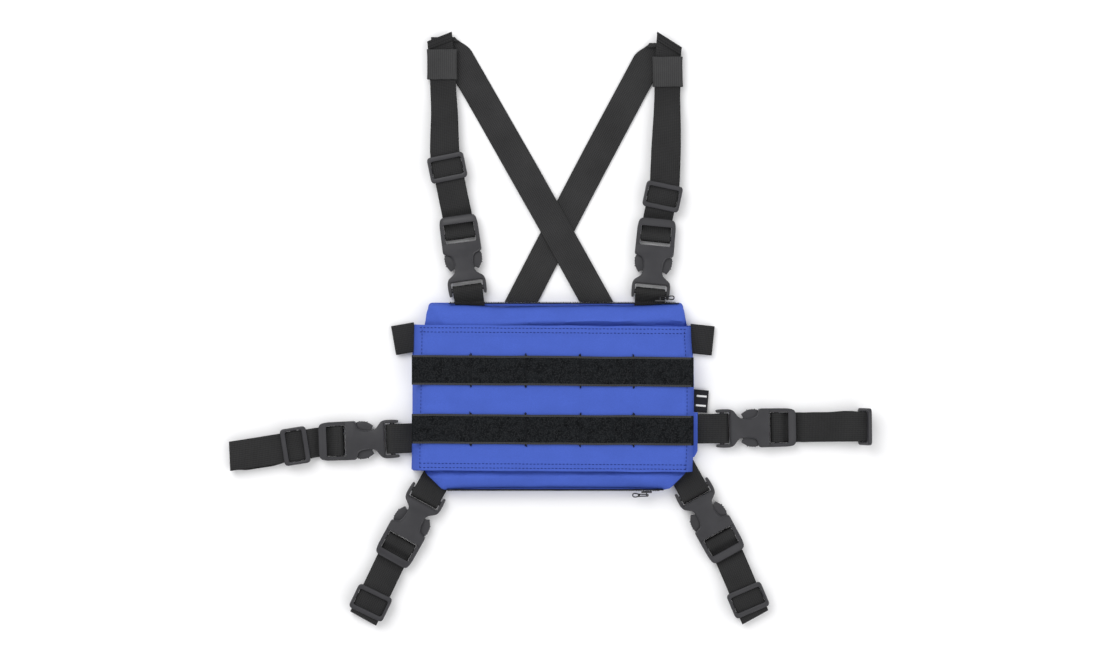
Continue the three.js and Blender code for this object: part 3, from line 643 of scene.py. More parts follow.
def modelSocket():
    half = [(14.6, 68, 4.2), (16.2, 62, 4), (16.4, 46, 6), (16.4, 37, 1.4), (13.6, 35.7, 3), (9.6, 34.4, 3.2),
            (8, 28, 5), (8.1, 20, 5), (13.8, 16.2, 4), (14.6, 13, 0.4)]
    body = plate("socket", rounded(mirrored(half)), buckle["low"], buckle["high"], 1.2, 4)
    wide, inside, window = 2 * buckle["half"], buckle["half"] - 2.3, buckle["windowHalf"]
    low, high, under, over = buckle["frameLow"], buckle["frameHigh"], -2, 14
    start, end, mouth = buckle["windowFrom"], buckle["end"], buckle["mouth"]
    carve(body, block((-wide, start, high), (wide, end, over)))  # the window's frame is thinner
    carve(body, block((-wide, start, under), (wide, end, low)))
    opening = rounded(mirrored([(window, buckle["windowTo"], 1.6), (window, start, 1.6)]))
    carve(body, plate("window", opening, under, over))
    carve(body, block((-window, 60, under), (window, end + 1, 5.4)))  # room for the webbing under the end bar
    carve(body, block((-inside, mouth, low), (inside, 43.4, high)))  # room for the prongs
    carve(body, block((-wide, mouth, low), (wide, 36.4, high)))
    carve(body, rod(11, 24, (0, 67.4, 19.6), vertices=48))  # thumb hollow along the end bar
    parts = [body, rod(barRadius, 27.5, (0, levels["socketBar"], levels["bar"]))]
    for side in (-1, 1):  # raised lip round each prong's cut-out
        edge = rounded([(side * x, y, radius) for x, y, radius in half[2:]])[7:-22]
        lip = [(x - side * 0.5, y + 0.4, buckle["high"] - 0.1) for x, y in edge]
        parts.append(wire("lip", lip, 0.55))
    body = joined(parts)
    body.name = "socket"
    smooth(body, 32)
    return body


def ring(name, corner, window, low, high, radius=0.85, turns=3):
    # a rounded bar that runs round a window; low gives its underside from x and y
    outer, inner = rounded(corner, 8), rounded(window, 8)
    count = 4 * (turns + 1)
    bpy.ops.mesh.primitive_torus_add(major_segments=len(outer), minor_segments=count)
    obj = bpy.context.object
    obj.name = name
    for i, (outside, inside) in enumerate(zip(outer, inner)):
        outside, inside = Vector(outside), Vector(inside)
        under = low(inside.x, inside.y)
        way = (outside - inside).normalized()
        wide, tall = (outside - inside).length / 2, (high - under) / 2
        section = [(wide, tall, radius), (wide, -tall, radius), (-wide, -tall, radius), (-wide, tall, radius)]
        middle = (outside + inside) / 2
        for j, (across, up) in enumerate(rounded(section, turns)):
            spot = middle + way * across
            obj.data.vertices[i * count + j].co = (spot.x, spot.y, under + tall + up)
    weld(obj)
    return obj


def frameOf(x, y, radius):
    return [(x, y, radius), (x, -y, radius), (-x, -y, radius), (-x, y, radius)]


def slideUnder(x, y):
    # the end bars pass over the webbing, the rails come down beside it
    return 9.8 - 4.2 * ramp(abs(x), 12.5, 13.05) * (1 - ramp(abs(y), 5.2, 6.4))


def modelSlide():
    # end bars over the webbing, side rails beside it and a middle bar under it
    rim = ring("slide", frameOf(slide["half"], slide["reach"], slide["corner"]),
               frameOf(slide["windowHalf"], slide["windowReach"], 2), slideUnder, 12)
    middle = plate("middle", rounded(frameOf(14.4, 2.5, 0.5)), 5.5, 7.6, 0.6)
    body = joined([rim, middle])
    smooth(body, 40)
    return body


def modelStandingSlide():
    rim = ring("standing", frameOf(slide["half"], slide["reach"], slide["corner"]),
               frameOf(slide["windowHalf"] - 0.2, slide["windowReach"], 2), lambda x, y: -1.7, 1.7)
    body = joined([rim, rod(barRadius, barLength, (0, 0, 0))])
    smooth(body, 40)
    return body


def middleOf(nodeName):
    low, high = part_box(nodeName)
    return (low + high) / (2 * millimetre)


def fitHardware():
    masters = {"plug": modelPlug(), "prong_a": modelProng(1), "prong_b": modelProng(-1),
               "socket": modelSocket()}
    flat, standing = modelSlide(), modelStandingSlide()
    for name, arm in arms.items():
        for part, master in masters.items():
            partName = name + "_" + part
            piece = copyOf(master, partName + "_moulding")
            settle(piece, "plastic", arm["place"])
            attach(piece, partName)
            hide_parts(partName)
        slideName = name + "_slide"
        if name == "right_waist":
            hinge = joints[slideName + "_tilt"]
            across = Vector(hinge["axis"])
            turn = Matrix((across, Vector((-across.y, across.x, 0)), (0, 0, 1))).transposed().to_4x4()
            place = Matrix.Translation(Vector(hinge["pos_m"]) / millimetre) @ turn
            place = place @ Matrix.Rotation(math.radians(slide["tilt"]), 4, "X")
            piece = copyOf(standing, slideName + "_moulding")
        else:
            way = Vector(joints[slideName + "_travel"]["axis"])
            turn = Matrix((Vector((way.y, -way.x, 0)), way, (0, 0, 1))).transposed().to_4x4()
            centre = middleOf(slideName)
            centre.z = 0
            place = arm["slidePlace"] = Matrix.Translation(centre) @ turn
            piece = copyOf(flat, slideName + "_moulding")
        settle(piece, "plastic", place)
        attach(piece, slideName)
        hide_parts(slideName)
    for master in list(masters.values()) + [flat, standing]:
        bpy.data.objects.remove(master)


fitHardware()
print("buckles and slides done")


# webbing of the arms


def anchorLine(arm):
    tail = -arm["seam"] - (3.6 if arm.get("sideSeam") else 9)
    bar = levels["plugBar"] + (0 if "keeperAt" in arm else 2)
    below = [(tail, levels["low"]), (-arm["seam"], levels["low"])]
    above = [(bar - 1.5, levels["high"]), (-arm["seam"] - 0.5, levels["pressed"]), (tail, levels["pressed"])]
    return below + arcLine(bar, levels["bar"], levels["turn"], -90, 90) + above


def loopLine(arm):
    fold = arm["loopEnd"] - 3.8
    out = [(y, levels["low"]) for y in np.linspace(levels["socketBar"] + 3, fold - 3, 30)]
    back = [(y, upperHeight(arm, y)) for y in np.linspace(fold - 2, levels["socketBar"] + 2, 44)]
    line = arcLine(levels["socketBar"] - 1.5, levels["bar"], levels["turn"], 90, 270) + out
    line += arcLine(fold, levels["bar"], levels["turn"], -90, 90) + back
    return line + [line[0]]


def frontLine(arm):
    # the lower layer runs up to the shoulder strap's roll, the upper one ends in a folded hem
    lowerEnd = arm["stubEnd"] - 14
    under = [(y, levels["low"]) for y in np.linspace(lowerEnd, levels["socketBar"] + 3, 60)]
    over = [(y, upperHeight(arm, y)) for y in np.linspace(levels["socketBar"] + 2, arm["stubEnd"] - 1.2, 90)]
    line = under + arcLine(levels["socketBar"], levels["bar"], levels["turn"], 270, 90) + over
    end, top = over[-1]
    return line + arcLine(end, top + 0.78, 0.78, -90, 90, 6) + [(end - 6, top + 1.5)]


def webbingPatch(name, arm):
    # the stretch of webbing that humps over a slide's middle bar
    reach, line = 7.4, []
    for y in np.linspace(-reach, reach, 19):
        line.append((y, 8.9 + 0.75 * math.cos(y / reach * math.pi / 2) ** 2 - 0.25 * ramp(abs(y), 5.5, reach)))
    wide = strap["width"] + 0.9
    patch = layWebbing(name + "_slide_webbing", line, wide, 1.0, lambda side, y, z: (side, y, z))
    settle(patch, "strap", arm["slidePlace"])
    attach(patch, name + "_slide")


def bendSpot(arm, along):
    # where a bend starts or ends, in the frame's metres
    return arm["place"] @ Vector((0, along, levels["between"])) * millimetre


def layArms():
    wide, thick = strap["width"], strap["thick"]
    for name, arm in arms.items():
        place = arm["place"]
        line = sampled(anchorLine(arm), strap["anchorPitch"])
        anchor = layWebbing(name + "_anchor_webbing", line, wide, thick, lambda side, y, z: (side, y, z))
        settle(anchor, "strap", place)
        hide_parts(name + "_anchor")
        start, end = bendSpot(arm, -arm["seam"]), bendSpot(arm, 1.5)
        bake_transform(anchor)
        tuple(start)
        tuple(end)
        if "keeperAt" in arm:
            line = sampled(frontLine(arm), strap["pitch"])
            front = layWebbing(name + "_front_webbing", line, wide, thick, strapSpot(name))
            settle(front, "strap", place)
            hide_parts(name + "_strap")
            start, end = bendSpot(arm, arm["keeperAt"] - 13), bendSpot(arm, arm["glideAt"] + 12)
            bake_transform(front)
            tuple(start)
            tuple(end)
        else:
            line = sampled(loopLine(arm), strap["pitch"])
            loop = layWebbing(name + "_loop_webbing", line, wide, thick, strapSpot(name), closed=True)
            settle(loop, "strap", place)
            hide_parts(name + "_strap")
            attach(loop, name + "_socket")
        if "slidePlace" in arm:
            webbingPatch(name, arm)


layArms()
print("webbing laid")


# elastic keepers and the crossed back straps

keeper = {"length": 25.5, "high": 7.7, "low": 2.0, "half": 12.6, "wall": 0.9, "pitch": 1.1,
          "stitchHalf": 11.2, "stitchInset": 2.2, "stitchPitch": 2.6}
backStrap = {"start": 81.6, "level": 0.98, "raised": 1.8, "thick": 1.35, "pitch": 1.8, "roll": 1.5, "bow": 0.8,
             "bendFrom": 83, "bendTo": 98}
yoke = {"left_shoulder": {"root": (38.5, 79), "top": (-89, 307), "over": True},
        "right_shoulder": {"root": (-28.6, 78), "top": (88, 302), "over": False}}


def makeKeeper(name):
    arm = arms[name]
    high, low, half = keeper["high"], keeper["low"], keeper["half"] - keeper["wall"] / 2
    middle = (high + low) / 2
    section = rounded([(half, high, 2), (half, low, 2), (-half, low, 2), (-half, high, 2)], 5)
    around = sampled(section + [section[0]], keeper["pitch"])
    bpy.ops.mesh.primitive_grid_add(x_subdivisions=14, y_subdivisions=len(around) - 1, size=1)
    obj = bpy.context.object
    obj.name = name + "_keeper_elastic"
    rows = [round((v.co.y + 0.5) * (len(around) - 1)) for v in obj.data.vertices]
    ways = [v.co.x * keeper["length"] for v in obj.data.vertices]
    mapWeave(obj, lambda i: (rows[i] * keeper["pitch"], ways[i]))
    for vertex, row, way in zip(obj.data.vertices, rows, ways):
        x, z = around[row]
        flare = 0.03 * abs(way / keeper["length"] * 2) ** 3  # the open ends stand out a little
        swell = 1 + flare + 0.012 * noise.noise((way * 0.12, x * 0.1, z))
        vertex.co = (x * swell, way + 0.5 * noise.noise((x * 0.12, 3, 1)), middle + (z - middle) * swell)
    weld(obj, 0.05)
    modify(obj, "SOLIDIFY", thickness=keeper["wall"], offset=0)
    modify(obj, "BEVEL", width=0.25, segments=2, limit_method="ANGLE", angle_limit=math.radians(60))
    smooth(obj, 60)
    at = arm["keeperAt"]
    lean = math.atan2(drift(arm, at - 8) - drift(arm, at + 8), 16) + math.radians(arm["keeperTurn"])
    place = arm["place"] @ Matrix.Translation((drift(arm, at), at, 0)) @ Matrix.Rotation(lean, 4, "Z")
    settle(obj, "elastic", place)
    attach(obj, "yoke")
    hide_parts(name + "_keeper")
    half, row = keeper["stitchHalf"], keeper["length"] / 2 - keeper["stitchInset"]
    places = []
    for spot, way, up in seam((-half, row), (half, row), keeper["stitchPitch"], lambda x, y: high + 0.12):
        places.append((place @ Vector(spot), place.to_3x3() @ Vector(way), up))
    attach(sew(name + "_keeper_stitches", places, 1.9, "blackThread", 0.2), "yoke")


def makeBackStrap(name):
    (x0, y0), (x1, y1) = yoke[name]["root"], yoke[name]["top"]
    rollY = y1 - 2.3
    lean = math.atan2(x0 - x1, rollY - y0)
    axis, across = Vector((-math.sin(lean), math.cos(lean))), Vector((math.cos(lean), math.sin(lean)))
    raised = backStrap["raised"] if yoke[name]["over"] else 0  # one strap lies over the other
    line = []
    for y in np.linspace(backStrap["start"], rollY - 0.5, 110):
        line.append((y, backStrap["level"] + raised * (1 - ramp(y, y0 + 100, y0 + 140))))
    line += arcLine(rollY, 2.5, backStrap["roll"], -90, 90, 12) + [(rollY - 2, 4)]

    def spot(side, y, z):
        x = x0 + (min(y, rollY) - y0) / (rollY - y0) * (x1 - x0)
        wave = 0.2 * noise.noise((y * 0.02, side * 0.04, 7 if raised else 2))
        outward = 1 if x0 > x1 else -1
        bow = outward * backStrap["bow"] * math.sin(math.pi * (y - y0) / (rollY - y0))
        if side * outward > 0:  # the outer edge curls in towards the roll
            side *= 1 - 0.6 * ramp(y, rollY - 11, rollY + 3) ** 1.6
        return (x + side / math.cos(lean) + wave + bow, y, z + max(0, wave))

    line = sampled(line, backStrap["pitch"])
    obj = layWebbing(name + "_back_webbing", line, strap["width"], backStrap["thick"], spot, across=10)
    flat = [v.co.xy - Vector((x0, y0)) for v in obj.data.vertices]
    mapWeave(obj, lambda i: (flat[i].dot(across), flat[i].dot(axis)))
    settle(obj, "backStrap")
    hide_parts(name + "_back_strap")
    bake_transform(obj)


for shoulder in yoke:
    makeKeeper(shoulder)
    makeBackStrap(shoulder)
print("keepers and back straps done")


# the pouch: a soft flat bag, its back panel and the sleeve across its front

pouch = {"left": -109, "right": 114, "top": 81, "bottom": -78, "front": 18.2, "taper": 4, "drop": 20,
         "cut": 15.5, "swell": 4, "voxel": 4.5, "cap": 4.5, "under": 2.1, "crease": 1.1,
         "panel": (0.1, 1.7), "panelSize": (0.2388, 0.159), "panelArea": 0.0362}
sleeve = {"half": 119.2, "reach": 61.5, "front": 19.3, "seam": 6.3, "hem": 8.5, "pucker": 0.3, "thick": 1.15,
          "lean": 0.007, "rows": (2.4, 6), "stitch": 3.1}
loops = {"upper": 23.3, "lower": -26.3, "wide": 25, "reach": 119, "low": 20.35, "high": 21.75, "tufts": 3400,
         "tuftReach": 117.5, "edgePitch": 1.4, "groove": 0.4, "rim": 0.35, "tacks": (-69.4, -22.7, 23.2, 68.3)}


def bagCorners(inset):
    left, right = pouch["left"] + inset, pouch["right"] - inset
    top, bottom, cut = pouch["top"] - inset, pouch["bottom"] + inset, pouch["cut"] - inset * 0.6
    taper, drop = pouch["taper"], top - pouch["drop"]
    return [(right - taper, top, 3), (right, drop, 6), (right, bottom + cut, 5), (right - cut, bottom, 6),
            (left + cut, bottom, 6), (left, bottom + cut, 5), (left, drop, 6), (left + taper, top, 3)]


def inflate(obj, pressure, cap, frames=20):
    # cloth under light air pressure, run in metres, no point moving farther than cap
    rest = [v.co.copy() for v in obj.data.vertices]
    obj.data.transform(Matrix.Scale(millimetre, 4))
    only(obj)
    modifier = obj.modifiers.new("cloth", "CLOTH")
    settings = modifier.settings
    settings.use_pressure = True
    settings.uniform_pressure_force = pressure
    settings.effector_weights.gravity = 0
    settings.tension_stiffness = 12
    settings.bending_stiffness = 0.4
    for step in range(1, frames + 1):
        bpy.context.scene.frame_set(step)
    bpy.ops.object.modifier_apply(modifier="cloth")
    bpy.context.scene.frame_set(1)
    obj.data.transform(Matrix.Scale(1 / millimetre, 4))
    for vertex, start in zip(obj.data.vertices, rest):
        moved = vertex.co - start
        if moved.length > cap:
            vertex.co = start + moved.normalized() * cap


def shapeBag(bag):
    # brings the bag out to its full outline, with slack, creases and gaping edges beside the sleeve
    left, right, top, bottom = (pouch[edge] for edge in ("left", "right", "top", "bottom"))
    xs, ys = [v.co.x for v in bag.data.vertices], [v.co.y for v in bag.data.vertices]
    oldLeft, wide, oldBottom, tall = min(xs), max(xs) - min(xs), min(ys), max(ys) - min(ys)
    for vertex in bag.data.vertices:
        x, y, z = vertex.co
        x = left + 0.4 + (x - oldLeft) * (right - left - 0.8) / wide
        y = bottom + 0.5 + (y - oldBottom) * (top - bottom - 0.9) / tall
        crease = noise.noise((x * 0.035, y * 0.06, z * 0.05)) + 0.5 * noise.noise((x * 0.09, y * 0.12, 4))
        edge = ramp(abs(y), 62, 70) * ramp(z, 12, 15)
        gape = 2 + 4.5 * ramp(x, -60, 10) if y > 0 else 5.5  # how far the face falls under the sleeve's edge
        gape *= ramp(abs(y), 56, 60) * (1 - 0.85 * ramp(abs(y), 61.5, 66)) * ramp(z, 10, 14)
        z += (crease - 0.4) * pouch["crease"] * edge - gape
        dip = 2.2 * math.exp(-((x + 30) / 38) ** 2) + 0.7 * math.exp(-((x - 60) / 22) ** 2)
        crown = top - 0.35 - max(0, dip + 0.4 * math.sin(x * 0.11)) * ramp(z, 2, 16)
        if y > 40:  # the top edge sags between the straps
            y = 40 + (y - 40) * (crown - 40) / (top - 0.4 - 40)
        sag = 0.8 + 0.8 * math.sin(x * 0.045 + 1)
        y = max(y, bottom + 0.4 + sag * ramp(z, 6, 17) * ramp(abs(x), 96, 80))
        for side, reach in ((-1, -left), (1, right)):  # nothing stands past the cut corners
            past = max(0, side * x - y - reach + bottom + pouch["cut"] + 0.7) / 2
            x, y = x - side * past, y + past
        x = min(max(x, left + 0.2), right - 0.2)
        vertex.co = (x, y, min(max(z, pouch["under"]), pouch["front"]))


def makeBag():
    bag = plate("pouch_body", rounded(bagCorners(3)), 3.5, pouch["front"] - 3)
    modify(bag, "REMESH", mode="VOXEL", voxel_size=pouch["voxel"])
    inflate(bag, pouch["swell"], pouch["cap"])
    modify(bag, "SUBSURF", levels=1, render_levels=1)
    shapeBag(bag)
    smooth(bag, 50)
    settle(bag, "blue")
    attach(bag, "pouch")
    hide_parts("pouch_shell")


def makeBackPanel():
    # the bag's outline with the side seams' allowances reaching out under the sleeve's edges
    corners = []
    outer, reach = sleeve["half"], sleeve["reach"]
    for side, edge in ((1, pouch["right"]), (-1, pouch["left"])):
        inner = side * edge
        half = [(inner - pouch["taper"], pouch["top"], 3), (inner, reach + 0.1, 0.5), (outer, reach, 1.5),
                (outer, -reach, 1.5), (inner, -reach - 0.3, 0.5), (inner - pouch["cut"], pouch["bottom"], 6)]
        corners += [(side * x, y, radius) for x, y, radius in half[::side]]
    panel = plate("back_panel_cloth", rounded(corners), *pouch["panel"], 0.5)
    smooth(panel, 40)
    settle(panel, "blue")
    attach(panel, "pouch")
    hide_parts("back_panel")


def sleeveHeight(x):
    # height of the sleeve's face over x, before wrinkles
    run = 15 if x < 0 else 9.5  # the left side slopes down more gently
    t = min(1, max(0, (sleeve["half"] - abs(x)) / run))
    return sleeve["seam"] + (sleeve["front"] - sleeve["seam"]) * (1 - (1 - t) ** 2.6)


def wrinkle(x, y):
    soft = 0.75 * noise.noise((x * 0.024, y * 0.06, 2))
    soft += 0.5 * noise.noise((x * 0.06 + y * 0.05, y * 0.11, 9))
    pull = 0  # puckers along the hems' stitches
    for row in (sleeve["reach"] - 5.5, -sleeve["reach"] + 5.5):
        pull += math.exp(-(((y - row) / 5.5) ** 2)) * noise.noise((x * 0.16, row, 1))
    strips = min(abs(y - loops["upper"]), abs(y - loops["lower"])) - loops["wide"] / 2
    held = 0.25 + 0.75 * ramp(strips, 0, 5)  # flatter under the loop strips
    hem = sleeve["reach"] - sleeve["hem"]
    fold = 0.45 * ramp(abs(y), hem - 0.7, hem + 0.7)
    return (soft + sleeve["pucker"] * pull) * held - 0.15 + fold


def sleeveFace(x, y):
    return sleeveHeight(x) + wrinkle(x, y) + 0.68


def narrowing(x, y, left, right, lower):
    # how far the sleeve's sides come in at height y
    if x < 0:
        return left * (y + sleeve["reach"]) / (2 * sleeve["reach"])
    return -right * ramp(y, 15, 61) - lower * ramp(y, -30, -61)


def makeSleeve():
    half, reach, lean = sleeve["half"], sleeve["reach"], sleeve["lean"]
    xs = [*np.linspace(-half, -104, 14), *np.linspace(-102, 107, 106), *np.linspace(109, half, 11)]
    line = [(-half, 2.6), (-half, 4.4)] + [(x, sleeveHeight(x)) for x in xs] + [(half, 4.4), (half, 2.6)]

    def spot(side, x, z):
        low = ramp(z, 4, 8)
        edge = 0.5 * noise.noise((x * 0.035, math.copysign(3, side), 5)) * ramp(abs(side), 50, 61)
        edge -= lean * x
        inward = narrowing(x, side, 2.4, 2.6, 1.2)
        return (x + inward * ramp(abs(x), 60, 119), side + edge, z + wrinkle(x, side) * low)

    cover = layWebbing("sleeve_cloth", line, 2 * reach, sleeve["thick"], spot, across=84)
    settle(cover, "blue")
    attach(cover, "pouch")
    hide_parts("front_sleeve")
    length = sum(math.dist(a, b) for a, b in zip(line, line[1:]))
    places = []
    for edge in (1, -1):
        for back in sleeve["rows"]:
            y = edge * (reach - back)
            places += seam((-113, y + 0.79), (113, y - 0.79), sleeve["stitch"], sleeveFace)
    for x in (-112.5, 113.5):
        for k in range(38):
            y = -58.5 + sleeve["stitch"] * k
            slope = sleeveHeight(x + 0.5) - sleeveHeight(x - 0.5)
            spotX = x + narrowing(x, y, 2.2, 2.3, 1)
            places.append(((spotX, y - lean * x, sleeveFace(x, y) + 0.1), (0, 1, 0), (-slope, 0, 1)))
    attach(sew("sleeve_stitches", places, 2.3, "blueThread", 0.34), "pouch")


def stripLine(x, middle):
    # the strip's middle, leaning and wandering with the cloth
    return middle - sleeve["lean"] * x + 0.45 * noise.noise((x * 0.03, middle, 8))


def makeLoopStrip(name, middle):
    low, high, half = loops["low"], loops["high"], loops["wide"] / 2
    level, reach, groove = (low + high) / 2, loops["reach"], loops["groove"]
    line = [(x, level + 0.12 * noise.noise((x * 0.05, middle, 1))) for x in np.linspace(-reach, reach, 150)]

    def spot(side, x, z):
        sunk = sum(math.exp(-(((x - tack) / 1.3) ** 2)) for tack in loops["tacks"])
        rim = loops["rim"] * ramp(abs(side), half - 2.2, half - 0.4)
        return (x, stripLine(x, middle) + side * (1 + 0.02 * sunk), z - groove * sunk - rim)

    strip = layWebbing(name + "_pile", line, loops["wide"], high - low, spot, across=12)
    settle(strip, "pile")
    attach(strip, "pouch")
    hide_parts(name)
    edges, tufts, tacks, up, end = [], [], [], (0, 0, 1), loops["tuftReach"]
    for side in (-1, 1):
        for k in range(168):
            x = -end + loops["edgePitch"] * k
            for inset in (0.35, 1.25):
                y = stripLine(x, middle) + side * (half - inset)
                edges.append(((x, y, high - 0.42 + inset * 0.25), (1, 0.35 * side, 0), up))
    for k in range(loops["tufts"]):
        x = random.uniform(-end, end)
        y = stripLine(x, middle) + random.uniform(-half + 1.8, half - 1.8)
        if min(abs(x - tack) for tack in loops["tacks"]) < 0.9:
            continue
        angle = random.uniform(0, math.tau)
        way = (math.cos(angle), math.sin(angle), random.uniform(-0.2, 0.2))
        tufts.append(((x, y, high + 0.03), way, up))
    for tack in loops["tacks"]:
        y = stripLine(tack, middle)
        for k in range(13):
            spot = (tack + random.uniform(-0.15, 0.15), y - half + k * half / 6, high - 0.42)
            tacks.append((spot, (0.05, 1, 0), up))
        for side in (-1, 1):  # loose ends beyond the strip's edges
            for k in range(4):
                spot = (tack + random.uniform(-0.7, 0.7), y + side * (half + 0.2 + 0.4 * k), low + 0.05)
                tacks.append((spot, (random.uniform(-1, 1), 1, 0), up))
    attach(sew(name + "_selvedge", edges, 1.9, "selvedge", 0.45), "pouch")
    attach(sew(name + "_tufts", tufts, 1.3, "tuft", 0.3), "pouch")
    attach(sew(name + "_tacks", tacks, 2.2, "blackThread", 0.42), "pouch")


def makeSeamFlap():
    # the seam allowance that shows beyond the right edge, over the waist webbing
    line = [(y, 6.4 + 0.3 * noise.noise((y * 0.1, 2, 2))) for y in np.linspace(-50, -12, 28)]

    def spot(side, y, z):
        return (sleeve["half"] + 0.2 + side * ramp(y, -52, -44), y, z - 0.1 * side)

    flap = layWebbing("seam_flap", line, 7, 1.0, spot, across=4)
    settle(flap, "blue")
    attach(flap, "pouch")


makeBag()
makeSeamFlap()
print("bag sewn")
makeBackPanel()
makeSleeve()
makeLoopStrip("loop_strip_upper", loops["upper"])
makeLoopStrip("loop_strip_lower", loops["lower"])
print("pouch covered")


# zips: tape, coil, slider and cord pull

zips = {"top_zip": {"from": -88, "to": 107, "edge": pouch["top"], "way": 1},
        "bottom_zip": {"from": -90, "to": 94, "edge": pouch["bottom"], "way": -1}}
zipParts = {"height": 11.9, "tape": 6.4, "tapeThick": 0.9, "sunk": 0.6, "pitch": 1.45, "stitch": 2.9,
            "sliderLong": 9, "sliderWide": 5.2, "seat": 0.7, "wire": 0.48, "knotAt": 8.2, "knot": 0.85}


def makeZip(name, run):
    way, edge, height = run["way"], run["edge"], zipParts["height"]
    first, span = run["from"] + 1.5, run["to"] - run["from"] - 3  # of the coil, inside the tape's ends
    line = [(x, 0) for x in np.linspace(run["from"], run["to"], 90)]
    face = edge - way * zipParts["sunk"]

    def spot(side, x, z):
        return (x, face + way * 0.15 * noise.noise((x * 0.06, side * 0.1, 3)), height + side)

    tape = layWebbing(name + "_woven_tape", line, zipParts["tape"], zipParts["tapeThick"], spot, across=6)
    settle(tape, "tape")
    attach(tape, "pouch")
    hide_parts(name + "_tape")
    teeth, threads = [], []
    for k in range(int(span / zipParts["pitch"])):
        teeth.append(((first + k * zipParts["pitch"], edge + way * 0.35, height), (0.15, 0, 1), (0, way, 0)))
    for side in (-1, 1):
        for k in range(int(span / zipParts["stitch"])):
            x = first + k * zipParts["stitch"]
            threads.append(((x, face + way * 0.5, height + side * 2.7), (1, 0, 0), (0, way, 0)))
    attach(sew(name + "_coil", teeth, 3.6, "coil", 0.55), "pouch")
    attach(sew(name + "_rows", threads, 2.1, "blackThread", 0.2), "pouch")
    low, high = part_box(name + "_slider")
    x = (low.x + high.x) / (2 * millimetre)
    base = edge + way * zipParts["seat"]  # the slider sits down on the coil
    inward = base - (low.y if way > 0 else high.y) / millimetre
    turn = Matrix.Translation((x, base, height)) @ Matrix.Rotation(0 if way > 0 else math.pi, 4, "Z")
    long, wide = zipParts["sliderLong"] / 2, zipParts["sliderWide"] / 2
    shape = [(-long, wide * 0.7, 1), (-long, -wide * 0.7, 1), (long, -wide, 1.6), (long, wide, 1.6)]
    body = plate("slider", rounded(shape), 0, 1.5, 0.4)
    body.data.transform(Matrix.Rotation(-math.pi / 2, 4, "X"))
    half = [(1.2, 1.7), (2.6, 1.85), (3.3, 1.3)]
    bail = [(0, y, -z) for y, z in half] + [(0, 3.4, 0)] + [(0, y, z) for y, z in half[::-1]]
    arch = wire("bail", bail, zipParts["wire"])
    slider = joined([body, arch])
    slider.name = name + "_slider_casting"
    smooth(slider, 40)
    settle(slider, "enamel", turn)
    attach(slider, name + "_slider")
    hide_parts(name + "_slider")
    low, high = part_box(name + "_pull")
    y = (low.y + high.y) / (2 * millimetre) + inward
    left, right = low.x / millimetre, high.x / millimetre
    start, end = (left, right) if way > 0 else (right, left)
    sign = 1 if end > start else -1
    outline = [(0.9, 0.75, 0.7), (0.9, -0.75, 0.7), (9, -0.8, 4), (11.2, -1.7, 2), (13.9, -1.3, 1.3),
               (13.9, 1.3, 1.3), (11.2, 1.7, 2), (9, 0.8, 4)]
    line = [(start + sign * (u - 0.4), y + v, height) for u, v in rounded(outline, 5)]
    pull = wire(name + "_pull_cord", line, zipParts["wire"], True)
    x = start + sign * zipParts["knotAt"]
    knot = wire("knot", [(x, y - 1.25, height), (x, y + 1.25, height)], zipParts["knot"])
    pull = joined([pull, knot])
    smooth(pull, 60)
    settle(pull, "cord")
    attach(pull, name + "_pull")
    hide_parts(name + "_pull")


for name, run in zips.items():
    makeZip(name, run)
print("zips done")


# side tabs and the label, each a band folded double into a side seam

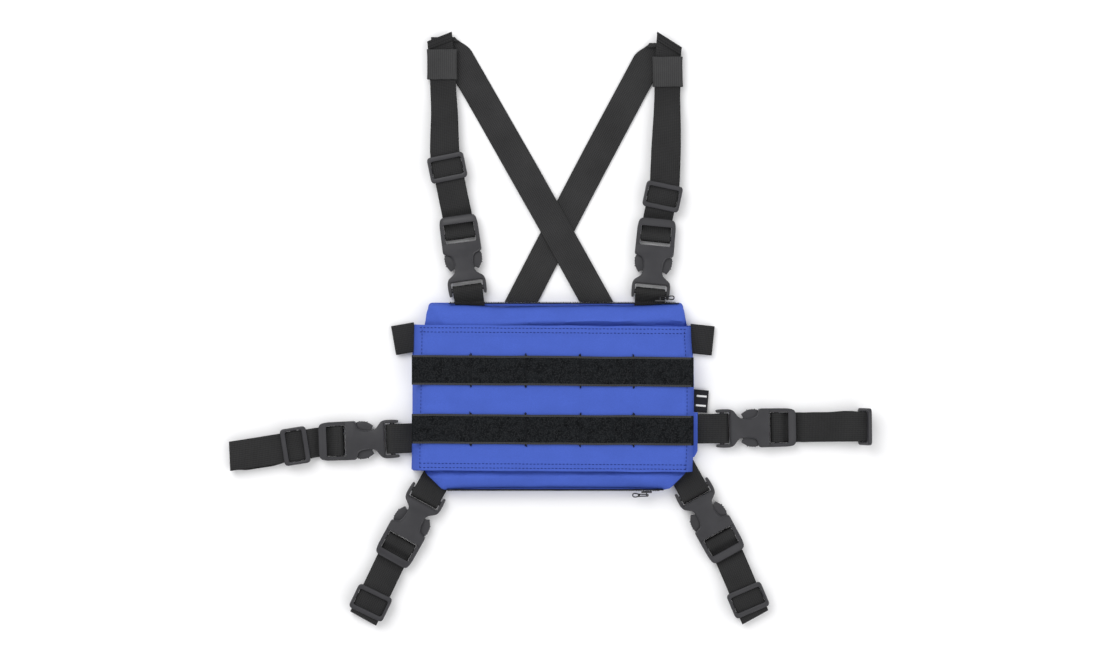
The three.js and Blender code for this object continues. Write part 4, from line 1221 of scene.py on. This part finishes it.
tabs = {
    "side_tab_left": {"side": -1, "height": 51.5, "tilt": 10, "reach": 16, "wide": 25, "thick": 1.4,
                      "low": 2.65, "high": 4.45},
    "side_tab_right": {"side": 1, "height": 50.3, "tilt": -6, "reach": 17, "wide": 25, "thick": 1.4,
                       "low": 2.65, "high": 4.45},
    "label_tag": {"side": 1, "height": -2, "tilt": -5, "reach": 12.5, "wide": 19, "thick": 0.55,
                  "low": 2.25, "high": 3.1, "stripes": (-4.2, 3.8), "stripeWide": 1.6},
}
tabRoot = 3.6  # of each tab, inside the side seam


def makeTab(name, tab):
    radius = (tab["high"] - tab["low"]) / 2
    middle = (tab["high"] + tab["low"]) / 2
    fold = tab["reach"] - radius - tab["thick"] / 2
    line = [(y, tab["low"]) for y in np.linspace(-tabRoot, fold - 0.6, 12)]
    line += arcLine(fold, middle, radius, -90, 90, 8)
    line += [(y, tab["high"]) for y in np.linspace(fold - 0.6, -tabRoot, 12)]
    turn = math.radians(tab["tilt"] - 90 * tab["side"])
    place = Matrix.Translation((tab["side"] * (sleeve["half"] + 0.2), tab["height"], 0))
    place = place @ Matrix.Rotation(turn, 4, "Z")

    def spot(side, y, z):
        lift = 0.35 * noise.noise((y * 0.12, side * 0.09, len(name))) * ramp(y, 0, 6)
        return (side, y, z + abs(lift))

    label = name == "label_tag"
    band = layWebbing(name + "_band", line, tab["wide"], tab["thick"], spot)
    settle(band, "label" if label else "strap", place)
    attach(band, "pouch")
    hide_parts(name)
    if label:
        top = tab["high"] + tab["thick"] / 2 + 0.06
        line = [(y, top) for y in np.linspace(2.5, fold - 0.8, 12)]
        for k, side in enumerate(tab["stripes"]):
            stripe = layWebbing("label_stripe_%d" % k, line, tab["stripeWide"], 0.12,
                                lambda x, y, z: spot(x + side, y, z), across=2)
            settle(stripe, "white", place)
            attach(stripe, "pouch")


for name, tab in tabs.items():
    makeTab(name, tab)
print("tabs done")


# the two rows of stitches across each shoulder strap's folded hem


def sewArms():
    for name, arm in arms.items():
        if "keeperAt" not in arm:
            continue
        spot, places = strapSpot(name), []
        for back in (2.2, 5.2):
            along = arm["stubEnd"] - back
            top = upperHeight(arm, along) + 2.28
            row = [arm["place"] @ Vector(spot(side, along, top)) for side in np.linspace(-10.8, 10.8, 11)]
            for a, b in zip(row, row[1:]):
                places.append(((a + b) / 2, b - a, (0, 0, 1)))
        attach(sew(name + "_hem_stitches", places, 1.7, "blackThread", 0.24), "yoke")


sewArms()
print("stitching done")

bpy.data.objects.remove(stitchShape)
